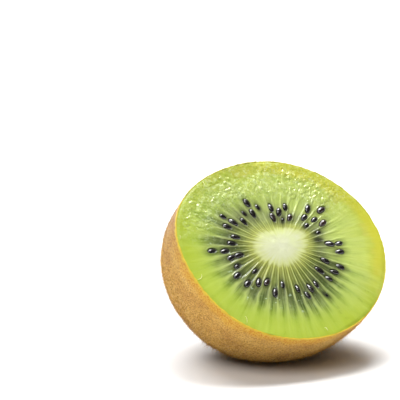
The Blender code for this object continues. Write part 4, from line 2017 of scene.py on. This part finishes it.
@dataclass
class RimShreds:
    """Small pale fibres that curl off the cut's edge."""

    form: HalfForm
    count: int = 5
    first_turn: float = math.radians(120.0)
    last_turn: float = math.radians(300.0)
    lengths: tuple = (1.0 * MM, 2.2 * MM)
    thickness: float = 0.12 * MM
    curls: tuple = (0.8, 2.6)
    segments: int = 12
    sides: int = 6
    seed: int = 4

    def spine(self, rng: random.Random, step: int) -> Array:
        """Points along one fibre.

        Args:
            rng: Source of its random numbers.
            step: Which fibre it is.

        Returns:
            Points in the cut's frame.
        """
        part = (step + rng.uniform(0.15, 0.85)) / self.count
        turn = np.array([self.first_turn + (self.last_turn - self.first_turn) * part])
        start = self.form.rim(turn, rng.uniform(0.2, 1.8) * MM)[0]
        heading = turn[0] + math.pi + rng.uniform(-1.1, 1.1)
        length, curl = rng.uniform(*self.lengths), rng.choice((-1.0, 1.0)) * rng.uniform(*self.curls)
        points = []
        place = np.array([start[0], start[1], -0.02 * MM])
        for index in range(self.segments + 1):
            share = index / self.segments
            points.append(place.copy())
            way = heading + curl * share
            place[:2] += np.array([math.cos(way), math.sin(way)]) * length / self.segments
            place[2] = (0.12 + 0.5 * math.sin(math.pi * share) * share) * MM
        return np.array(points)

    def build(self, placement: Placement, material: Material) -> Object:
        """Make the fibres.

        Args:
            placement: How the half lies.
            material: Their material.

        Returns:
            One mesh of all the fibres.
        """
        rng = random.Random(self.seed)
        mesh = RingMesh()
        circle = TAU * np.arange(self.sides) / self.sides
        for step in range(self.count):
            spine = self.spine(rng, step)
            ahead = np.gradient(spine, axis=0)
            ahead /= np.linalg.norm(ahead, axis=1, keepdims=True)
            side = np.cross(ahead, (0.0, 0.0, 1.0))
            side /= np.linalg.norm(side, axis=1, keepdims=True)
            over = np.cross(side, ahead)
            mesh.last = None
            for index in range(1, self.segments):
                radius = 0.5 * self.thickness * math.sin(math.pi * index / self.segments) ** 0.5
                round_it = np.outer(np.cos(circle), side[index]) + np.outer(np.sin(circle), over[index])
                points = placement.to_world(spine[index] + radius * round_it)
                mesh.grow(points, index / self.segments, placement.point(*spine[0]), 0.0)
            mesh.cap(mesh.last, placement.point(*spine[-1]), 1.0)
        return hand_over(mesh.finish("kiwi_rim_shreds", material, 80.0), Slot.FLESH)


@dataclass
class StemEnd:
    """Woody ring around the dimple of the stem end."""

    form: HalfForm
    lumps: int = 8
    around: int = 144
    sides: int = 20
    width: float = 2.4 * MM
    height: float = 1.5 * MM

    def build(self, placement: Placement, material: Material) -> Object:
        """Make the ring.

        Args:
            placement: How the half lies.
            material: Its material.

        Returns:
            The ring.
        """
        form = self.form
        turns = TAU * np.arange(self.around) / self.around
        angle = math.acos(form.stem_ring / form.face_long)
        middle = form.skin(turns, np.full(self.around, angle))
        spot = middle / MM
        size = 0.82 + 0.22 * np.abs(np.cos(0.5 * self.lumps * turns))
        size += 0.22 * soft_noise(spot / 1.6, Noise.STEM)
        spoke = np.column_stack([np.cos(turns), np.sin(turns)])
        mesh = RingMesh()
        rings = []
        for step in range(self.sides):
            side = TAU * step / self.sides
            rough = size * (1.0 + 0.12 * soft_noise(spot / 0.7 + 3.0 * step, Noise.STEM))
            out = 0.5 * self.width * math.cos(side) * rough
            down = 0.5 * self.height * math.sin(side) * rough
            points = np.column_stack([middle[:, :2] + spoke * out[:, None], middle[:, 2] - down])
            rings.append(mesh.ring(placement.to_world(points), step / self.sides))
        for one, two in zip(rings, rings[1:] + rings[:1]):
            mesh.join(one, two)
        return hand_over(mesh.finish("kiwi_stem_end", material, 60.0), Slot.STEM_END)


@dataclass
class Studio:
    """Floor, lights and the camera at the photograph's viewing angle."""

    azimuth: float = math.radians(-30.0)
    elevation: float = math.radians(14.0)
    distance: float = 595.0 * MM
    pixels_per_mm: float = 4.237
    image_side: float = 400.0
    face_pixel: tuple = (284.7, 247.4)
    lens: float = 225.0
    sensor: float = 36.0
    sky: float = 0.08
    floor_tone: float = 0.76
    floor_side: float = 4.0
    lamps: tuple = (
        ("top_light", 18.0, 0.9, (0.0, 0.48, 0.84)),
        ("spark_light", 6.2, 0.3, (0.12, 0.14, 0.88)),
        ("left_light", 3.4, 0.5, (-0.56, -0.2, 0.64)),
        ("front_light", 1.6, 0.6, (-0.32, -0.45, 0.7)),
        ("right_light", 0.8, 0.6, (0.5, 0.4, 0.7)),
    )

    def camera(self, placement: Placement) -> None:
        """Stand the camera so that the middle of the cut falls on its pixel.

        Args:
            placement: How the half lies.
        """
        a, e = self.azimuth, self.elevation
        back = Vector((math.sin(a) * math.cos(e), -math.cos(a) * math.cos(e), math.sin(e)))
        right = Vector((math.cos(a), math.sin(a), 0.0))
        up = back.cross(right)
        middle = placement.matrix.translation
        across = (self.face_pixel[0] - 0.5 * self.image_side) / self.pixels_per_mm * MM
        down = (self.face_pixel[1] - 0.5 * self.image_side) / self.pixels_per_mm * MM
        aim = middle - right * across + up * down
        data = bpy.data.cameras.new("camera")
        data.lens = self.lens
        data.sensor_width = self.sensor
        data.clip_start, data.clip_end = 0.01, 20.0
        camera = new_object("camera", data)
        camera.location = middle + back * self.distance
        camera.rotation_mode = "QUATERNION"
        camera.rotation_quaternion = (aim - camera.location).to_track_quat("-Z", "Y")
        bpy.context.scene.camera = camera

    @staticmethod
    def lamp(name: str, power: float, size: float, place: Vector, aim: Vector) -> None:
        """Hang a soft square white light.

        Args:
            name: Its name.
            power: Its power in watts.
            size: Its side.
            place: Where it hangs.
            aim: What it points at.
        """
        data = bpy.data.lights.new(name, "AREA")
        data.energy, data.size = power, size
        lamp = new_object(name, data)
        lamp.location = place
        lamp.rotation_mode = "QUATERNION"
        lamp.rotation_quaternion = (aim - place).to_track_quat("-Z", "Y")

    def floor(self) -> None:
        """Lay a pale floor."""
        mesh = bpy.data.meshes.new("floor")
        side = self.floor_side
        corners = [(-side, -side, 0.0), (side, -side, 0.0), (side, side, 0.0), (-side, side, 0.0)]
        mesh.from_pydata(corners, [], [(0, 1, 2, 3)])
        material, sheet, shader = new_material("pale_floor")
        tone = (self.floor_tone, self.floor_tone, self.floor_tone, 1.0)
        sheet.fill(shader, Base_Color=tone, Roughness=0.35, Specular_IOR_Level=0.2)
        mesh.materials.append(material)
        new_object("floor", mesh)

    def build(self, placement: Placement) -> None:
        """Set up the whole studio.

        Args:
            placement: How the half lies.
        """
        self.camera(placement)
        self.floor()
        middle = placement.matrix.translation
        for name, power, size, place in self.lamps:
            self.lamp(name, power, size, middle + Vector(place), middle)
        world = bpy.data.worlds.new("studio")
        world.use_nodes = True
        world.node_tree.nodes["Background"].inputs["Color"].default_value = (1.0, 1.0, 1.0, 1.0)
        world.node_tree.nodes["Background"].inputs["Strength"].default_value = self.sky
        bpy.context.scene.world = world
        bpy.context.scene.view_settings.view_transform = "Standard"


def main() -> None:
    """Build the half and its studio."""
    logging.basicConfig(level=logging.INFO, format="%(name)s %(message)s")
    form = HalfForm()
    placement = Placement(form)
    low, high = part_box("flesh")
    made = placement.to_world(form.skin(np.linspace(0.0, TAU, 90), np.full(90, 0.7)))
    LOG.info("solid from %s to %s, skin ring up to %s", list(low), list(high), made.max(0))
    pattern = CutPattern(form.locules).build()
    zones = SkinZones(placement).build()
    pips = Pips(form)
    Flesh(form, pips, CutRelief(form, pips)).build(placement, WetFlesh("wet_flesh", pattern).build())
    Core(form).build(placement, WetFlesh("moist_core", pattern, scatter=0.15).build())
    pips.build(placement, PipShell().build())
    skin = Skin(form)
    skin.build(placement, DrySkin(zones).build())
    StemEnd(form).build(placement, DryWood().build())
    RimShreds(form).build(placement, PaleFibre().build())
    short = Hair("short_hair", 1.0 * MM, 0.07 * MM, segments=1, bend=0.0, kinds=3, seed=5)
    finish = HairFinish("short_hair", zones).build()
    short.strew(
        skin.carrier(placement, "kiwi_short_fuzz", 0.8 * MM), finish, 47000,
        Smallest=0.5, Largest=1.15, Lean=math.radians(67), Lean_Spread=math.radians(14), Seed=7,
    )
    long = Hair("long_hair", 1.9 * MM, 0.05 * MM, segments=4, bend=0.9, kinds=5, seed=9)
    finish = HairFinish("long_hair", zones).build()
    long.strew(
        skin.carrier(placement, "kiwi_long_fuzz", 1.6 * MM), finish, 5200,
        Smallest=0.5, Largest=1.15, Lean=math.radians(58), Lean_Spread=math.radians(22), Seed=21,
    )
    Studio().build(placement)


if __name__ == "__main__":
    main()
